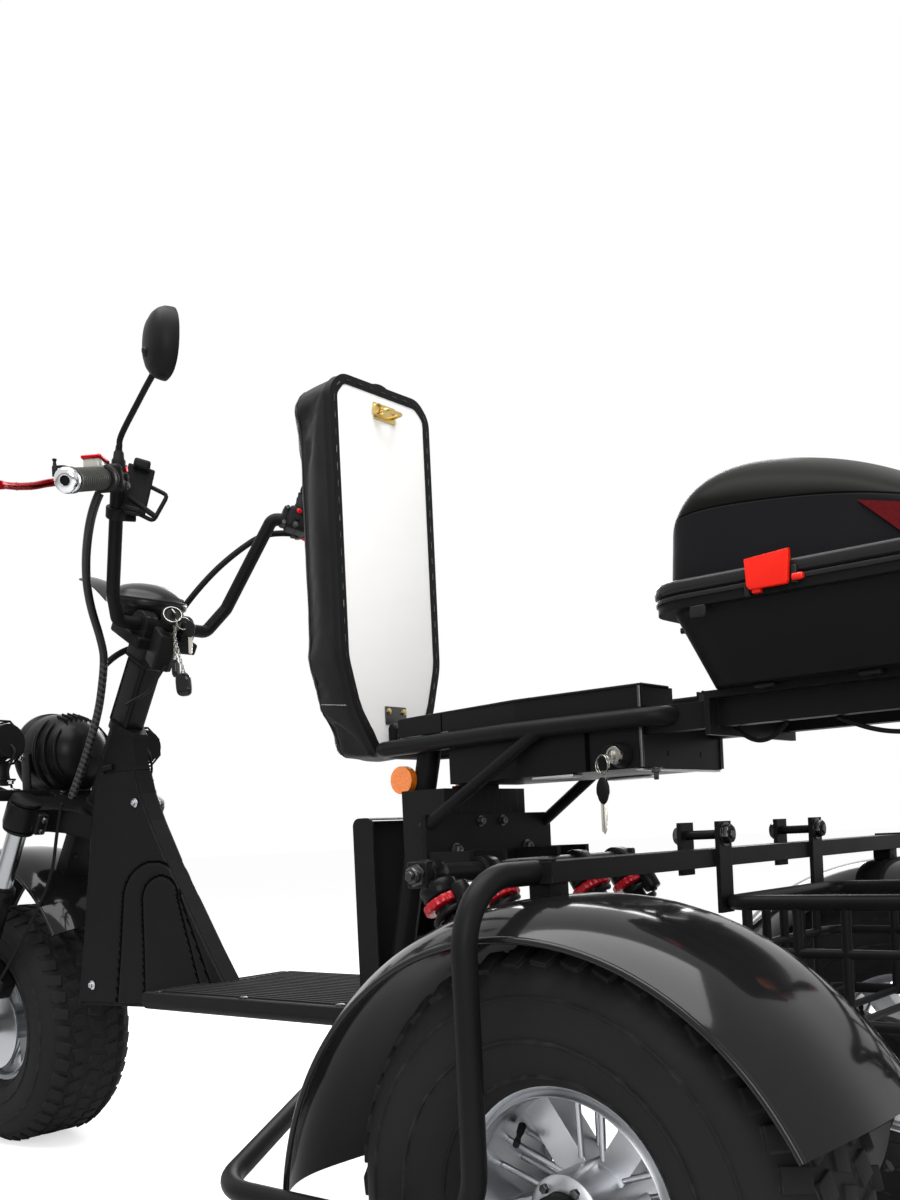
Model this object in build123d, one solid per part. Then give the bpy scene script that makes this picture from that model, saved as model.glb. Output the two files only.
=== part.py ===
from build123d import *
import math
import os

os.makedirs("parts", exist_ok=True)

# Wheels and stance, millimetres, x forward, y left, z up, first measured from the rear axle
tyre_radius = 228.5
tyre_width = 192
bead_radius = 104
wheelbase = 1590
rear_wheel_y = 405
axle_radius = 12
hub_running_gap = 0.5

# Steering axis
rake = math.radians(32)
steer_x = wheelbase - 266
steer_z = 620
leg_offset = 35
leg_y = 132
stanchion_radius = 17
slider_radius = 23
column_radius = 17.4
head_bore_radius = 18
head_tube_radius = 27
head_low = 9
head_high = 185

# Seat frame and tray
loop_radius = 11
loop_z = 673
loop_rear_x = 86
loop_front_x = 569
loop_rear_y = 108
loop_front_y = 60
taper_start_x = 300
tray_top_z = 711
tray_wall = 2.5
box_low_z = 617
box_rear_x = 124
box_front_x = 426
tray_front_x = 530

# Seat
hinge_x = 574
hinge_z = 705
seat_plane_x = 585
seat_low_z = 665
seat_high_z = 1201
seat_half = 105
board_thick = 9
cushion_thick = 80

# Main frame
rail_radius = 16
rail_y = 48
rail_z = 296
rail_front_x = wheelbase - 455
floor_z = 312
board_front_x = wheelbase - 580

# Rear axle and shocks
housing_radius = 42
stub_end_y = 478
pivot_x = 505
pivot_z = 335
arm_y = 155
shock_top = (352, 505)
shock_low = (205, 262)
shock_ys = (104, 207)

# Crossbar and guard
bar_x = 38
bar_deep = 40
bar_z_low = 504
bar_z_high = 523
bar_half = rear_wheel_y + 30
guard_y = bar_half + 100
guard_radius = 11
guard_z = 215

# Mudguards
guard_lip_radius = tyre_radius + 51.5
guard_crown_radius = guard_lip_radius + 29
guard_centre_x = 12
guard_drop = 44.5
mudguard_half = 111
mudguard_wall = 3
front_guard_radius = tyre_radius + 71.5
front_guard_half = 96
front_guard_centre = (wheelbase - 10, 0, tyre_radius + 40)

# Rack and case
rack_top_z = 693
rack_half = 110
case_half = 190
case_front_x = 62
case_rear_x = -318
rim_z = 786
case_top_z = 938
case_wall = 3

# Basket
basket_half = 135
basket_front_x = 6
basket_rear_x = -330
basket_top_z = 466
basket_low_z = 345

parts = {}


def v(x, y, z):
    return Vector(x, y, z)


def block(x0, x1, y0, y1, z0, z1):
    return Pos((x0 + x1) / 2, (y0 + y1) / 2, (z0 + z1) / 2) * Box(x1 - x0, y1 - y0, z1 - z0)


def rod(p, q, radius):
    p = Vector(*p)
    q = Vector(*q)
    return Plane(origin=(p + q) * 0.5, z_dir=q - p) * Cylinder(radius, (q - p).length)


def pipe(points, radius, bend):
    points = [Vector(*p) for p in points]
    path = FilletPolyline(*points, radius=bend) if len(points) > 2 else Line(*points)
    return sweep(Plane(origin=path @ 0, z_dir=path % 0) * Circle(radius), path=path)


def loop_pipe(points, radius, bend):
    path = FilletPolyline(*[Vector(*p) for p in points], radius=bend, close=True)
    return sweep(Plane(origin=path @ 0, z_dir=path % 0) * Circle(radius), path=path)


def mirrored(shape):
    return mirror(shape, about=Plane.XZ)


def trim(shape, *others):
    for other in others:
        shape = shape - other
    return shape


def keep_side(shape, sign):
    return shape & block(-3000, 3000, min(0, sign * 900), max(0, sign * 900), -10, 2000)


def keep(name, *shapes):
    solids = []
    for shape in shapes:
        solids.extend(s for s in shape.solids() if s.volume > 1)
    parts[name] = solids


def steer(s, p, y=0):
    """A point on the steering axis frame: s up along the axis, p forward of it."""
    return (steer_x - s * math.sin(rake) + p * math.cos(rake), y,
            steer_z + s * math.cos(rake) + p * math.sin(rake))


def steer_plane(s, p=0, y=0):
    return Plane(origin=steer(s, p, y), x_dir=(math.cos(rake), 0, math.sin(rake)),
                 z_dir=(-math.sin(rake), 0, math.cos(rake)))


def steer_block(p0, p1, y0, y1, s0, s1):
    return steer_plane((s0 + s1) / 2, (p0 + p1) / 2, (y0 + y1) / 2) * Box(p1 - p0, y1 - y0, s1 - s0)


def steer_rod(p, y, s0, s1, radius):
    return steer_plane((s0 + s1) / 2, p, y) * Cylinder(radius, s1 - s0)


def plan_half(x):
    if x <= taper_start_x:
        return loop_rear_y
    share = (x - taper_start_x) / (loop_front_x - taper_start_x)
    return loop_rear_y + share * (loop_front_y - loop_rear_y)


def plan_prism(x0, x1, inset, z0, z1):
    xs = [x0] + ([taper_start_x] if x0 < taper_start_x < x1 else []) + [x1]
    left = [(x, plan_half(x) - inset) for x in xs]
    right = [(x, -y) for x, y in reversed(left)]
    return Pos(0, 0, z0) * extrude(make_face(Polyline(*left, *right, close=True)), z1 - z0)


# Tyre and rim, turned about the y axis
half = tyre_width / 2
crown = tyre_radius
outer = [(bead_radius, half * 0.62), (bead_radius + 22, half * 0.86), (bead_radius + 62, half),
         (crown - 26, half * 0.93), (crown - 5, half * 0.62), (crown, 0)]
inner = [(crown - 14, 0), (crown - 20, half * 0.55), (crown - 36, half * 0.82),
         (bead_radius + 60, half - 9), (bead_radius + 24, half * 0.86 - 10), (bead_radius, half * 0.62 - 14)]


def turned(points, centre):
    profile = make_face(Polyline(*[(r, y) for r, y in points], close=True))
    return Pos(centre[0], centre[1], centre[2]) * revolve(profile, Axis.Y)


def tyre_ring(centre):
    top = outer
    low = [(r, -y) for r, y in reversed(outer[:-1])]
    low_in = [(r, -y) for r, y in reversed(inner[1:])]
    top_in = inner
    return turned(top + low + low_in + top_in, centre)


def rim(centre, hub_half, disc_y):
    bead_half = half * 0.62
    barrel = turned([(bead_radius, bead_half), (bead_radius, -bead_half),
                     (bead_radius - 5, -bead_half - 5), (bead_radius - 5, bead_half + 5)], (0, 0, 0))
    hub = Rot(90, 0, 0) * Cylinder(34, hub_half * 2)
    spoke = block(30, bead_radius - 3, -16, 16, -15, 15)
    body = barrel + hub
    for k in range(5):
        body = body + Rot(0, 72 * k + 90, 0) * spoke
    if disc_y:
        body = body + Pos(0, disc_y, 0) * Rot(90, 0, 0) * Cylinder(84, 4)
        body = body + Pos(0, disc_y / 2, 0) * Rot(90, 0, 0) * Cylinder(30, abs(disc_y))
    body = body - Rot(90, 0, 0) * Cylinder(axle_radius + hub_running_gap, 400)
    return Pos(*centre) * body


front_centre = (wheelbase, 0, tyre_radius)
keep("front_tyre", tyre_ring(front_centre))
keep("front_rim", rim(front_centre, 72, 78))
for side, sign in (("left", 1), ("right", -1)):
    centre = (0, sign * rear_wheel_y, tyre_radius)
    keep("rear_tyre_" + side, tyre_ring(centre))
    keep("rear_rim_" + side, rim(centre, 60, 0))

# Front shield, a folded sheet box that narrows into the neck
# Each row is height, how far its rear and front edges stand behind the front axle, half width at the front
shield_rear_half = 15
shield_rows = ((283, 652, 294, 80), (379, 582, 300, 69), (453, 532, 304, 63), (530, 480, 310, 56),
               (601, 438, 314, 50), (650, 414, 318, 45), (700, 400, 328, 37), (745, 396, 350, 32),
               (800, 418, 384, 29))


def shield_loft(inset):
    faces = []
    for z, behind_rear, behind_front, hy in shield_rows:
        rear, front = wheelbase - behind_rear, wheelbase - behind_front
        z = z + (inset if z == shield_rows[0][0] else -inset if z == shield_rows[-1][0] else 0)
        left = [(rear + inset, shield_rear_half - inset), (front - inset, hy - inset)]
        right = [(x, -y) for x, y in reversed(left)]
        faces.append(Pos(0, 0, z) * make_face(Polyline(*left, *right, close=True)))
    return loft(faces, ruled=True)


head_tube = steer_rod(0, 0, head_low, head_high - 1, head_tube_radius)
cups = steer_rod(0, 0, head_low, head_low + 14, 31) + steer_rod(0, 0, head_high - 14, head_high, 31)
head_bore = steer_rod(0, 0, head_low - 5, head_high + 5, head_bore_radius)
shield = shield_loft(0) - shield_loft(3)
stem_sweep = steer_rod(0, 0, head_high - 1, head_high + 120, 56)
shield = shield + (steer_block(-120, 60, -60, 60, head_high - 5, head_high - 1) & shield_loft(0))
shield = shield + head_tube + cups
shield = shield - head_bore - stem_sweep - steer_rod(0, 0, -60, head_low, 40)
keep("front_shield", shield)

# Main frame rails and pillars
rail_points = [(478, rail_y, 680), (500, rail_y, 590), (540, rail_y, 420), (566, rail_y, rail_z + 20),
               (640, rail_y, rail_z), (rail_front_x, rail_y, rail_z)]
rail = pipe(rail_points, rail_radius, 38)
frame = rail + mirrored(rail)
for x, z in ((640, rail_z), (780, rail_z), (920, rail_z), (548, 400)):
    frame = frame + rod((x, -rail_y, z), (x, rail_y, z), 12)
frame = trim(frame, shield_loft(0))
pivot_tube = rod((pivot_x, -110, pivot_z), (pivot_x, 110, pivot_z), 17)
for sign in (1, -1):
    frame = frame + block(pivot_x - 20, 566, sign * rail_y - 5, sign * rail_y + 5, pivot_z - 24, pivot_z + 40)
frame = frame + pivot_tube
keep("main_frame", frame)

# Footboard
board = block(570, board_front_x, -150, 150, floor_z, floor_z + 14)
board = trim(board, shield_loft(0), frame)
keep("footboard", board)

# Seat loop with its two struts
loop = loop_pipe([(loop_rear_x, loop_rear_y, loop_z), (taper_start_x, loop_rear_y, loop_z),
                  (loop_front_x, loop_front_y, loop_z), (loop_front_x, -loop_front_y, loop_z),
                  (taper_start_x, -loop_rear_y, loop_z), (loop_rear_x, -loop_rear_y, loop_z)], loop_radius, 34)
strut = rod((430, 128, 560), (252, loop_rear_y, loop_z), 8)
loop = loop + strut + mirrored(strut)
keep("seat_loop", loop)

# Battery tray and box
tray_out = plan_prism(box_rear_x - 4, tray_front_x, loop_radius, loop_z + 14, tray_top_z)
tray_in = plan_prism(box_rear_x - 4 + tray_wall, tray_front_x - tray_wall, loop_radius + tray_wall,
                     loop_z + 14 + tray_wall, tray_top_z + 5)
box_out = plan_prism(box_rear_x, box_front_x, loop_radius, box_low_z, loop_z + 15)
box_in = plan_prism(box_rear_x + tray_wall, box_front_x - tray_wall, loop_radius + tray_wall,
                    box_low_z + tray_wall, tray_top_z)
tray = (tray_out + box_out) - tray_in - box_in
lock = rod((160, 90, 634), (160, 108, 634), 11)
latch_slot = block(box_rear_x - 10, box_rear_x + 8, -37, 27, loop_z + 12, tray_top_z + 1)
tray = trim(tray + lock, loop, frame, latch_slot)
keep("battery_tray", tray)
battery = plan_prism(box_rear_x + 12, box_front_x - 40, loop_radius + 14, box_low_z + tray_wall, loop_z + 20)
keep("battery_pack", battery)

# Controller box with cross plate and shock mount tube
ctrl = block(426, 500, -88, 88, 494, 612)
ctrl = trim(ctrl, frame)
plate = block(418, 426, -137, 137, 488, 578)
mount_tube = rod((shock_top[0], -236, shock_top[1]), (shock_top[0], 236, shock_top[1]), 12)
ears = [block(shock_top[0], 418, y - 4, y + 4, 492, 530) for y in (-130, -60, 60, 130)]
body = plate + mount_tube
for ear in ears:
    body = body + ear
body = trim(body, loop)
keep("controller_box", trim(ctrl, body) + block(426, 460, -30, 30, 612, box_low_z))
keep("cross_plate", body)

# Pillar cover
cover = block(566, 604, -78, 78, 312 + 14, 580)
cover = fillet(cover.edges().filter_by(Axis.Y).group_by(Axis.Z)[-1], 12)
cover = cover - block(560, 601, -75, 75, 312, 577)
cover = trim(cover, frame, board)
keep("pillar_cover", cover)

# Side reflectors on the pillars
reflector = Pos(512, rail_y + rail_radius + 5, 628) * Rot(90, 0, 0) * Cylinder(19, 12)
reflector = trim(reflector, frame)
keep("side_reflectors", reflector, mirrored(reflector))

# Rear axle with swing arms
housing = rod((0, -282, tyre_radius), (0, 282, tyre_radius), housing_radius)
diff = rod((0, -85, tyre_radius), (0, 85, tyre_radius), 82)
stub = rod((0, -stub_end_y, tyre_radius), (0, stub_end_y, tyre_radius), axle_radius)
nut = rod((0, rear_wheel_y + 62, tyre_radius), (0, stub_end_y + 4, tyre_radius), 20)
axle = housing + diff + stub + nut + mirrored(nut)
arm = pipe([(pivot_x, arm_y, pivot_z), (300, arm_y, 290), (0, arm_y, tyre_radius)], 15, 200)
swing_tube = rod((pivot_x, arm_y + 15, pivot_z), (pivot_x, 113, pivot_z), 19)
low_tube = rod((shock_low[0], -236, shock_low[1]), (shock_low[0], 236, shock_low[1]), 12)
axle = axle + arm + mirrored(arm) + low_tube + swing_tube + mirrored(swing_tube)
pin = rod((pivot_x, -120, pivot_z), (pivot_x, 120, pivot_z), 8)
axle = trim(axle, frame)
keep("rear_axle", axle)

# Shock absorbers
shocks = []
for y in (-shock_ys[1], -shock_ys[0], shock_ys[0], shock_ys[1]):
    top = Vector(shock_top[0], y, shock_top[1])
    low = Vector(shock_low[0], y, shock_low[1])
    along = (low - top).normalized()
    length = (low - top).length
    body = rod(top, top + along * 40, 13) + rod(top + along * 24, top + along * 36, 28)
    body = body + rod(top + along * 30, top + along * (length - 30), 23)
    body = body + rod(top + along * (length - 60), low, 14)
    body = trim(body, mount_tube, low_tube)
    shocks.append(body)
keep("shock_absorbers", *shocks)

# Crossbar with guard hoops
bar = block(bar_x - bar_deep / 2, bar_x + bar_deep / 2, -bar_half, bar_half, bar_z_low, bar_z_high)
guard = pipe([(bar_x, bar_half - 8, 513.5), (bar_x, guard_y, 513.5), (bar_x, guard_y, guard_z),
              (360, guard_y, guard_z), (590, rail_y + rail_radius - 4, rail_z)], guard_radius, 62)
hoop = bar + guard + mirrored(guard)
hoop = trim(hoop, frame)
keep("crossbar_hoop", hoop)

# Rear mudguards
crown_r, lip_r = guard_crown_radius, guard_lip_radius
mh, mw = mudguard_half, mudguard_wall
# Share of the half width, share of the drop from crown to lip
guard_section = ((1, 1), (0.97, 0.62), (0.87, 0.3), (0.66, 0.1), (0.35, 0.0))


def guard_side(wall):
    drop = crown_r - lip_r
    return [(crown_r - wall - drop * d * (drop - wall) / drop, (mh - wall) * w) for w, d in guard_section]


def mudguard(centre, start, sweep_angle):
    outside = guard_side(0)
    inside = guard_side(mw)
    pts = outside + [(r, -y) for r, y in reversed(outside)] + [(r, -y) for r, y in inside]
    pts = pts + [(r, y) for r, y in reversed(inside)]
    face = make_face(Polyline(*pts, close=True))
    piece = revolve(face, Axis.Y, revolution_arc=sweep_angle)
    return Pos(*centre) * Rot(0, start, 0) * piece


guard_middle = (guard_centre_x, rear_wheel_y, tyre_radius - guard_drop)
rear_guard = mudguard(guard_middle, -152, 146)
stay = block(bar_x - 12, bar_x + 12, 398, 426, 480, bar_z_low)
stay = trim(stay, rear_guard, Pos(*guard_middle) * Rot(90, 0, 0) * Cylinder(crown_r - 1, 300))
rear_guard = rear_guard + stay
keep("rear_mudguards", rear_guard, mirrored(rear_guard))

# Cargo basket
def rect_loop(z, grow, radius):
    x0, x1, h = basket_rear_x - grow, basket_front_x + grow, basket_half + grow
    return loop_pipe([(x0, h, z), (x1, h, z), (x1, -h, z), (x0, -h, z)], radius, 22)


basket = rect_loop(basket_top_z, 0, 8) + rect_loop(basket_low_z, 0, 6) + rect_loop(415, 0, 5)
for x in (-300, -240, -180, -120, -70, -15):
    for y in (-basket_half, basket_half):
        basket = basket + rod((x, y, basket_low_z), (x, y, basket_top_z), 5)
    basket = basket + rod((x, -basket_half, basket_low_z), (x, basket_half, basket_low_z), 4)
for y in (-90, -45, 0, 45, 90):
    for x in (basket_rear_x, basket_front_x):
        basket = basket + rod((x, y, basket_low_z), (x, y, basket_top_z), 5)
keep("cargo_basket", basket)

# Basket brackets over the crossbar
brackets = []
for y in (-120, 120):
    rear_strip = block(bar_x - bar_deep / 2 - 5, bar_x - bar_deep / 2, y - 14, y + 14, 455, 552)
    front_strip = block(bar_x + bar_deep / 2, bar_x + bar_deep / 2 + 5, y - 14, y + 14, 495, 552)
    bolt = rod((bar_x - 34, y, 538), (bar_x + 34, y, 538), 5)
    heads = rod((bar_x - 33, y, 538), (bar_x - 25, y, 538), 9) + rod((bar_x + 25, y, 538), (bar_x + 33, y, 538), 9)
    piece = rear_strip + front_strip + bolt + heads
    piece = trim(piece, basket)
    brackets.append(piece)
keep("crossbar_hoop", trim(hoop, *brackets), *brackets)

# Rear rack
rack = block(-235, 34, -rack_half, rack_half, rack_top_z - 8, rack_top_z)
for x in (-190, -130, -70, -10):
    rack = rack - block(x - 18, x + 18, -70, 70, rack_top_z - 10, rack_top_z + 2)
for y in (-80, 80):
    rack = rack + block(-235, box_rear_x, y - 10, y + 10, 655, rack_top_z - 8)
rack = rack + block(30, 36, -rack_half, rack_half, 646, rack_top_z)
rack = rack + block(-235, -229, -rack_half, rack_half, 655, rack_top_z)
for y in (-50, 50):
    rack = rack - rod((-240, y, 668), (-225, y, 668), 3.25)
rack = trim(rack, loop, block(box_rear_x - 4, box_rear_x, -110, 110, loop_z + 14, tray_top_z))
keep("tail_rack", rack)

# Tail case


def case_row(z, front, rear, hy, radius):
    return Pos((front + rear) / 2, 0, z) * RectangleRounded(front - rear, 2 * hy, radius)


def case_solid(rows, inset):
    faces = []
    for k, (z, front, rear, hy, radius) in enumerate(rows):
        faces.append(case_row(z, front - inset, rear + inset, hy - inset, radius - inset))
    return loft(faces)


body_rows = ((rack_top_z, 20, -272, 142, 40), (776, 50, -308, 178, 46))
body_case = case_solid(body_rows, 0)
body_core = case_solid(((rack_top_z + 4, 20, -272, 142, 40), (780, 50, -308, 178, 46)), case_wall)
rim_ring = extrude(case_row(770, case_front_x, case_rear_x, case_half, 50), 14) - extrude(
    case_row(760, 50 - case_wall, -308 + case_wall, 178 - case_wall, 43), 40)
body_case = (body_case + rim_ring) - body_core
body_case = body_case - block(-400, 200, -300, 300, 784, 900)
keep("case_body", body_case)
hinge_pin_x, hinge_pin_z = case_front_x + 5, 799
# Each row is x, half width, height of the side edge, height of the crown
lid_rows = ((54, 128, 842, 866), (42, 156, 860, 908), (16, 174, 870, 932), (-40, 181, 868, 940),
            (-120, 182, 857, 920), (-200, 180, 836, 880), (-265, 171, 822, 850), (-306, 146, 812, 826))
side_lean = 8


def lid_section(x, hy, side_z, top_z, low_z):
    seat = Plane(origin=(x, 0, 0), x_dir=(0, 1, 0), z_dir=(1, 0, 0))
    lean = side_lean
    arch = EllipticalCenterArc((0, side_z), hy - lean, top_z - side_z, arc_size=180)
    walls = Polyline((-(hy - lean), side_z), (-hy, low_z), (hy, low_z), (hy - lean, side_z))
    return seat * make_face(Curve() + arch + walls)


def lid_solid(inset, low_z):
    faces = []
    for k, (x, hy, side_z, top_z) in enumerate(lid_rows):
        shift = -inset if k == 0 else inset if k == len(lid_rows) - 1 else 0
        faces.append(lid_section(x + shift, hy - inset, side_z, top_z - inset, low_z))
    return loft(faces)


lid_case = lid_solid(0, 786)
lid_core = lid_solid(case_wall, 780)
lid_rim = extrude(case_row(785, case_front_x, case_rear_x, case_half, 50), 13)
lid_case = (lid_case + lid_rim) - lid_core - block(-400, 200, -300, 300, 700, 785)
for y in (-70, 70):
    lug = block(case_front_x + 2.2, case_front_x + 10, y + 8, y + 14, 772, 804)
    lug = lug + block(case_front_x - 1, case_front_x + 10, y + 8, y + 14, 772, 783)
    pair = lug + Pos(0, -22, 0) * lug
    body_case = body_case + pair + rod((hinge_pin_x, y - 14, hinge_pin_z), (hinge_pin_x, y + 14, hinge_pin_z), 2.5)
    barrel = block(case_front_x - 3, case_front_x + 10, y - 7, y + 7, 792, 804)
    lid_case = lid_case + barrel
    lid_case = lid_case - rod((hinge_pin_x, y - 14, hinge_pin_z), (hinge_pin_x, y + 14, hinge_pin_z), 2.8)
keep("case_body", body_case)
keep("case_lid", lid_case)
latch = block(-106, -62, case_half, case_half + 9, 774, 818)
latch = latch + block(-98, -70, case_half - 9, case_half, 799, 816)
latch = trim(latch, lid_case, body_case)
keep("case_latches", latch, mirrored(latch))
light_side = Plane.XZ * make_face(Polyline((-166, 844), (-212, 801), (-300, 801), (-300, 812), (-262, 821), (-200, 836), close=True))
case_light = extrude(light_side, 220, both=True) & (lid_solid(-3, 786) - block(-400, 200, -130, 130, 700, 1000))
case_light = trim(case_light, lid_case, lid_core)
case_light = keep_side(case_light, 1)
keep("case_reflectors", case_light, mirrored(case_light))

# Rear lamps under the rack's end
lamp = rod((-232, 92, 650), (-205, 92, 630), 7)
signal = rod((-216, 78, 632), (-216, 150, 632), 17)
tail = block(-262, -236, -38, 38, 640, 680)
tail = tail + block(-236, -235, -30, 30, 650, 676)
signal = signal + block(-226, -206, 84, 104, 632, 655)
keep("rear_lamps", signal, mirrored(signal), tail)

# Rack wiring
wire = pipe([(30, 60, 662), (14, 60, 640), (-20, 62, 636), (-40, 70, 655)], 2.5, 10)
wire = trim(wire, rack)
wire2 = pipe([(-95, 70, 655), (-130, 66, 634), (-200, 70, 632), (-216, 78, 632)], 2.5, 8)
wire2 = trim(wire2, rack, signal)
keep("rack_wiring", wire, wire2)

# Steering: column, stem box and top clamp
column = steer_rod(0, 0, -43, head_high + 4, column_radius)
stem = steer_block(-38, 38, -30, 30, head_high + 3, 340) - steer_block(-28, 28, 24, 40, head_high + 30, 330) \
    - steer_block(-28, 28, -40, -24, head_high + 30, 330)
top = steer_block(-42, 42, -62, 62, 340, 362)
bar_s, bar_p = 377, -14
clamp = steer_block(bar_p - 22, bar_p + 22, 24, 52, 362, 394) + steer_block(bar_p - 22, bar_p + 22, -52, -24, 362, 394)
pod_post = steer_block(10, 30, -30, 30, 362, 402)
bars = pipe([steer(bar_s, bar_p, -20), steer(bar_s, bar_p, 92), (wheelbase - 505, 118, 972), (wheelbase - 590, 160, 1122),
             (wheelbase - 620, 190, 1119), (wheelbase - 718, 336, 1064)], 11, 16)
bars = bars + mirrored(bars)
stem_body = trim(column + stem + top + clamp + pod_post, bars)
keep("steering_stem", stem_body)
keep("handlebar", bars)

# Lower clamp with lamp bracket
lamp_x = wheelbase - 200
clamp_low = steer_rod(0, 0, -43, 6, 33) + steer_block(5, 62, -165, 165, -43, 6)
clamp_low = clamp_low - steer_block(-40, 5, -165, -33, -50, 10) - steer_block(-40, 5, 33, 165, -50, 10)
lamp_bracket = steer_block(55, 82, -60, 60, -6, 6) + block(lamp_x - 5, lamp_x + 5, -170, 170, 648, 668)
lamp_bracket = trim(lamp_bracket, clamp_low)
legs = []
for sign in (1, -1):
    stanchion = steer_rod(leg_offset, sign * leg_y, -300, 14, stanchion_radius)
    slider = steer_rod(leg_offset, sign * leg_y, -478, -170, slider_radius)
    leg = stanchion + slider
    foot = block(wheelbase - 26, wheelbase + 22, sign * leg_y - 14, sign * leg_y + 14, tyre_radius - 24, tyre_radius + 34)
    leg = leg + foot
    legs.append(leg)
front_axle = rod((wheelbase, -leg_y - 20, tyre_radius), (wheelbase, leg_y + 20, tyre_radius), axle_radius)
spacer = rod((wheelbase, 84, tyre_radius), (wheelbase, leg_y - 10, tyre_radius), 18)
spacer2 = rod((wheelbase, -leg_y + 10, tyre_radius), (wheelbase, -76, tyre_radius), 18)
fork = legs[0] + legs[1] + front_axle + spacer + spacer2
keep("fork_legs", fork)
clamp_low = trim(clamp_low + lamp_bracket, fork, column)
keep("lower_clamp", clamp_low)

# Headlamp, spot lamps and signals
lamp_shape = [(0, -44), (40, -40), (68, -12), (78, 28), (78, 74), (70, 80), (0, 82)]
lamp_face = make_face(Polyline(*[(x, r) for r, x in lamp_shape], close=True))
headlamp = Pos(lamp_x, 0, 735) * revolve(lamp_face, Axis.X)
headlamp = trim(headlamp + block(lamp_x - 6, lamp_x + 20, -24, 24, 668, 680), clamp_low)
keep("headlamp", headlamp)
spot = Pos(lamp_x + 12, 148, 752) * fillet(Box(70, 74, 74).edges(), 8)
spot = spot + block(lamp_x - 5, lamp_x + 5, 140, 156, 668, 720)
keep("spot_lamps", spot, mirrored(spot))
sig_face = make_face(Polyline((0, 0), (0, 14), (60, 17), (92, 8), (92, 0), close=True))
sig = Pos(lamp_x + 30, 104, 664) * Rot(0, 0, 90) * revolve(sig_face, Axis.X)
sig = sig + block(lamp_x + 4, lamp_x + 34, 104, 114, 654, 668)
sig = trim(sig, clamp_low, fork, spot)
keep("front_signals", sig, mirrored(sig))

# Front mudguard
# Share of the half width, drop below the crown
front_guard_section = ((1, 26), (0.97, 17), (0.88, 9), (0.7, 3.5), (0.4, 0.6), (0.12, 0))


def front_guard_side(wall):
    return [(front_guard_radius - wall - drop, front_guard_half * share - wall * (share > 0.9))
            for share, drop in front_guard_section]


over, under = front_guard_side(0), front_guard_side(mudguard_wall)
face = over + [(r, -y) for r, y in reversed(over)] + [(r, -y) for r, y in under] + list(reversed(under))
front_guard = revolve(make_face(Polyline(*face, close=True)), Axis.Y, revolution_arc=115)
front_guard = Pos(*front_guard_centre) * Rot(0, -150, 0) * front_guard
guard_bracket = steer_block(20, 50, -30, 30, -190, -43)
guard_bracket = trim(guard_bracket, Pos(*front_guard_centre) * Rot(90, 0, 0) * Cylinder(front_guard_radius - 1, 400))
front_guard = front_guard + guard_bracket
keep("front_mudguard", front_guard)

# Grips, levers, pods, mirrors
grip_in = Vector(wheelbase - 632, 208, 1112)
grip_end = Vector(wheelbase - 716, 333, 1065)
grip = rod(grip_in, grip_end, 17) + rod(grip_end, grip_end + (grip_end - grip_in).normalized() * 12, 15)
grip = trim(grip, bars)
keep("grips", grip, mirrored(grip))
pod = Pos(wheelbase - 618, 190, 1119) * Rot(0, 0, -50) * Box(50, 46, 42)
pod = trim(pod, bars, grip)
keep("control_pods", pod, mirrored(pod))
perch = rod((wheelbase - 605, 205, 1122), (wheelbase - 560, 238, 1118), 7)
lever = pipe([(wheelbase - 566, 232, 1118), (wheelbase - 580, 300, 1094), (wheelbase - 618, 372, 1072)], 6, 60)
lever = trim(lever + perch, pod, grip)
keep("brake_levers", lever, mirrored(lever))
mirror_stem = pipe([(wheelbase - 632, 188, 1134), (wheelbase - 650, 190, 1178), (wheelbase - 784, 211, 1256)], 4.5, 30)
mirror_head = Pos(wheelbase - 792, 212, 1266) * Rot(0, 0, 20) * Rot(0, 90, 0) * extrude(Ellipse(50, 40), 16)
mirror_piece = trim(mirror_stem + mirror_head, pod)
keep("mirrors", mirror_piece, mirrored(mirror_piece))
pod_plane = Plane(origin=(wheelbase - 433, 0, 972), z_dir=(-0.22, 0, 0.975))
dome = [(0, 0), (62, 0), (68, 8), (68, 16), (60, 29), (40, 39), (18, 43), (0, 44)]
dome_face = make_face(Polyline(*[(r, z) for r, z in dome], close=True))
dome_face = Plane.XZ * dome_face
instrument = pod_plane * revolve(dome_face, Axis.Z)
visor = Plane(origin=(wheelbase - 328, 0, 1024), z_dir=(-math.sin(0.54), 0, math.cos(0.54))) * Box(104, 76, 4)
instrument = instrument + visor
instrument = instrument + block(wheelbase - 450, wheelbase - 430, -14, 14, 935, 985)
instrument = trim(instrument, stem_body)
keep("instrument", instrument)
holder = Pos(wheelbase - 595, 128, 1118) * Rot(0, 30, 0) * Box(14, 40, 60)
holder = trim(holder, bars)
keep("phone_holder", holder)

# Control cables: a bundle from each side that joins at the neck, and the front brake hose
# Points are how far behind the front axle, left, height
cable_points = ((605, 204, 1096), (590, 210, 1072), (501, 165, 1019), (453, 130, 966), (414, 80, 905), (398, 66, 871),
                (358, 62, 763), (280, 66, 650))
right_cable_points = ((605, -204, 1096), (590, -208, 1076), (495, -135, 1010))
hose_points = ((276, 84, 640), (262, 86, 600), (237, 86, 504), (170, 108, 400), (40, 120, 262))


def behind(points):
    return [(wheelbase - back, y, z) for back, y, z in points]


cable = pipe(behind(cable_points), 7, 16)
round_stem = [steer(384, 17, -78), steer(345, 30, -78), steer(316, 52, -40), steer(303, 52, 20), steer(284, 22, 64)]
right_cable = pipe(behind(right_cable_points) + round_stem, 5.5, 14)
hose = pipe(behind(hose_points), 3, 24)
cable = trim(cable, pod, clamp_low, stem_body)
right_cable = trim(right_cable, mirrored(pod), stem_body, cable)
hose = trim(hose, clamp_low, fork, front_guard)
keep("control_cables", cable, right_cable, hose)

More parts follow.
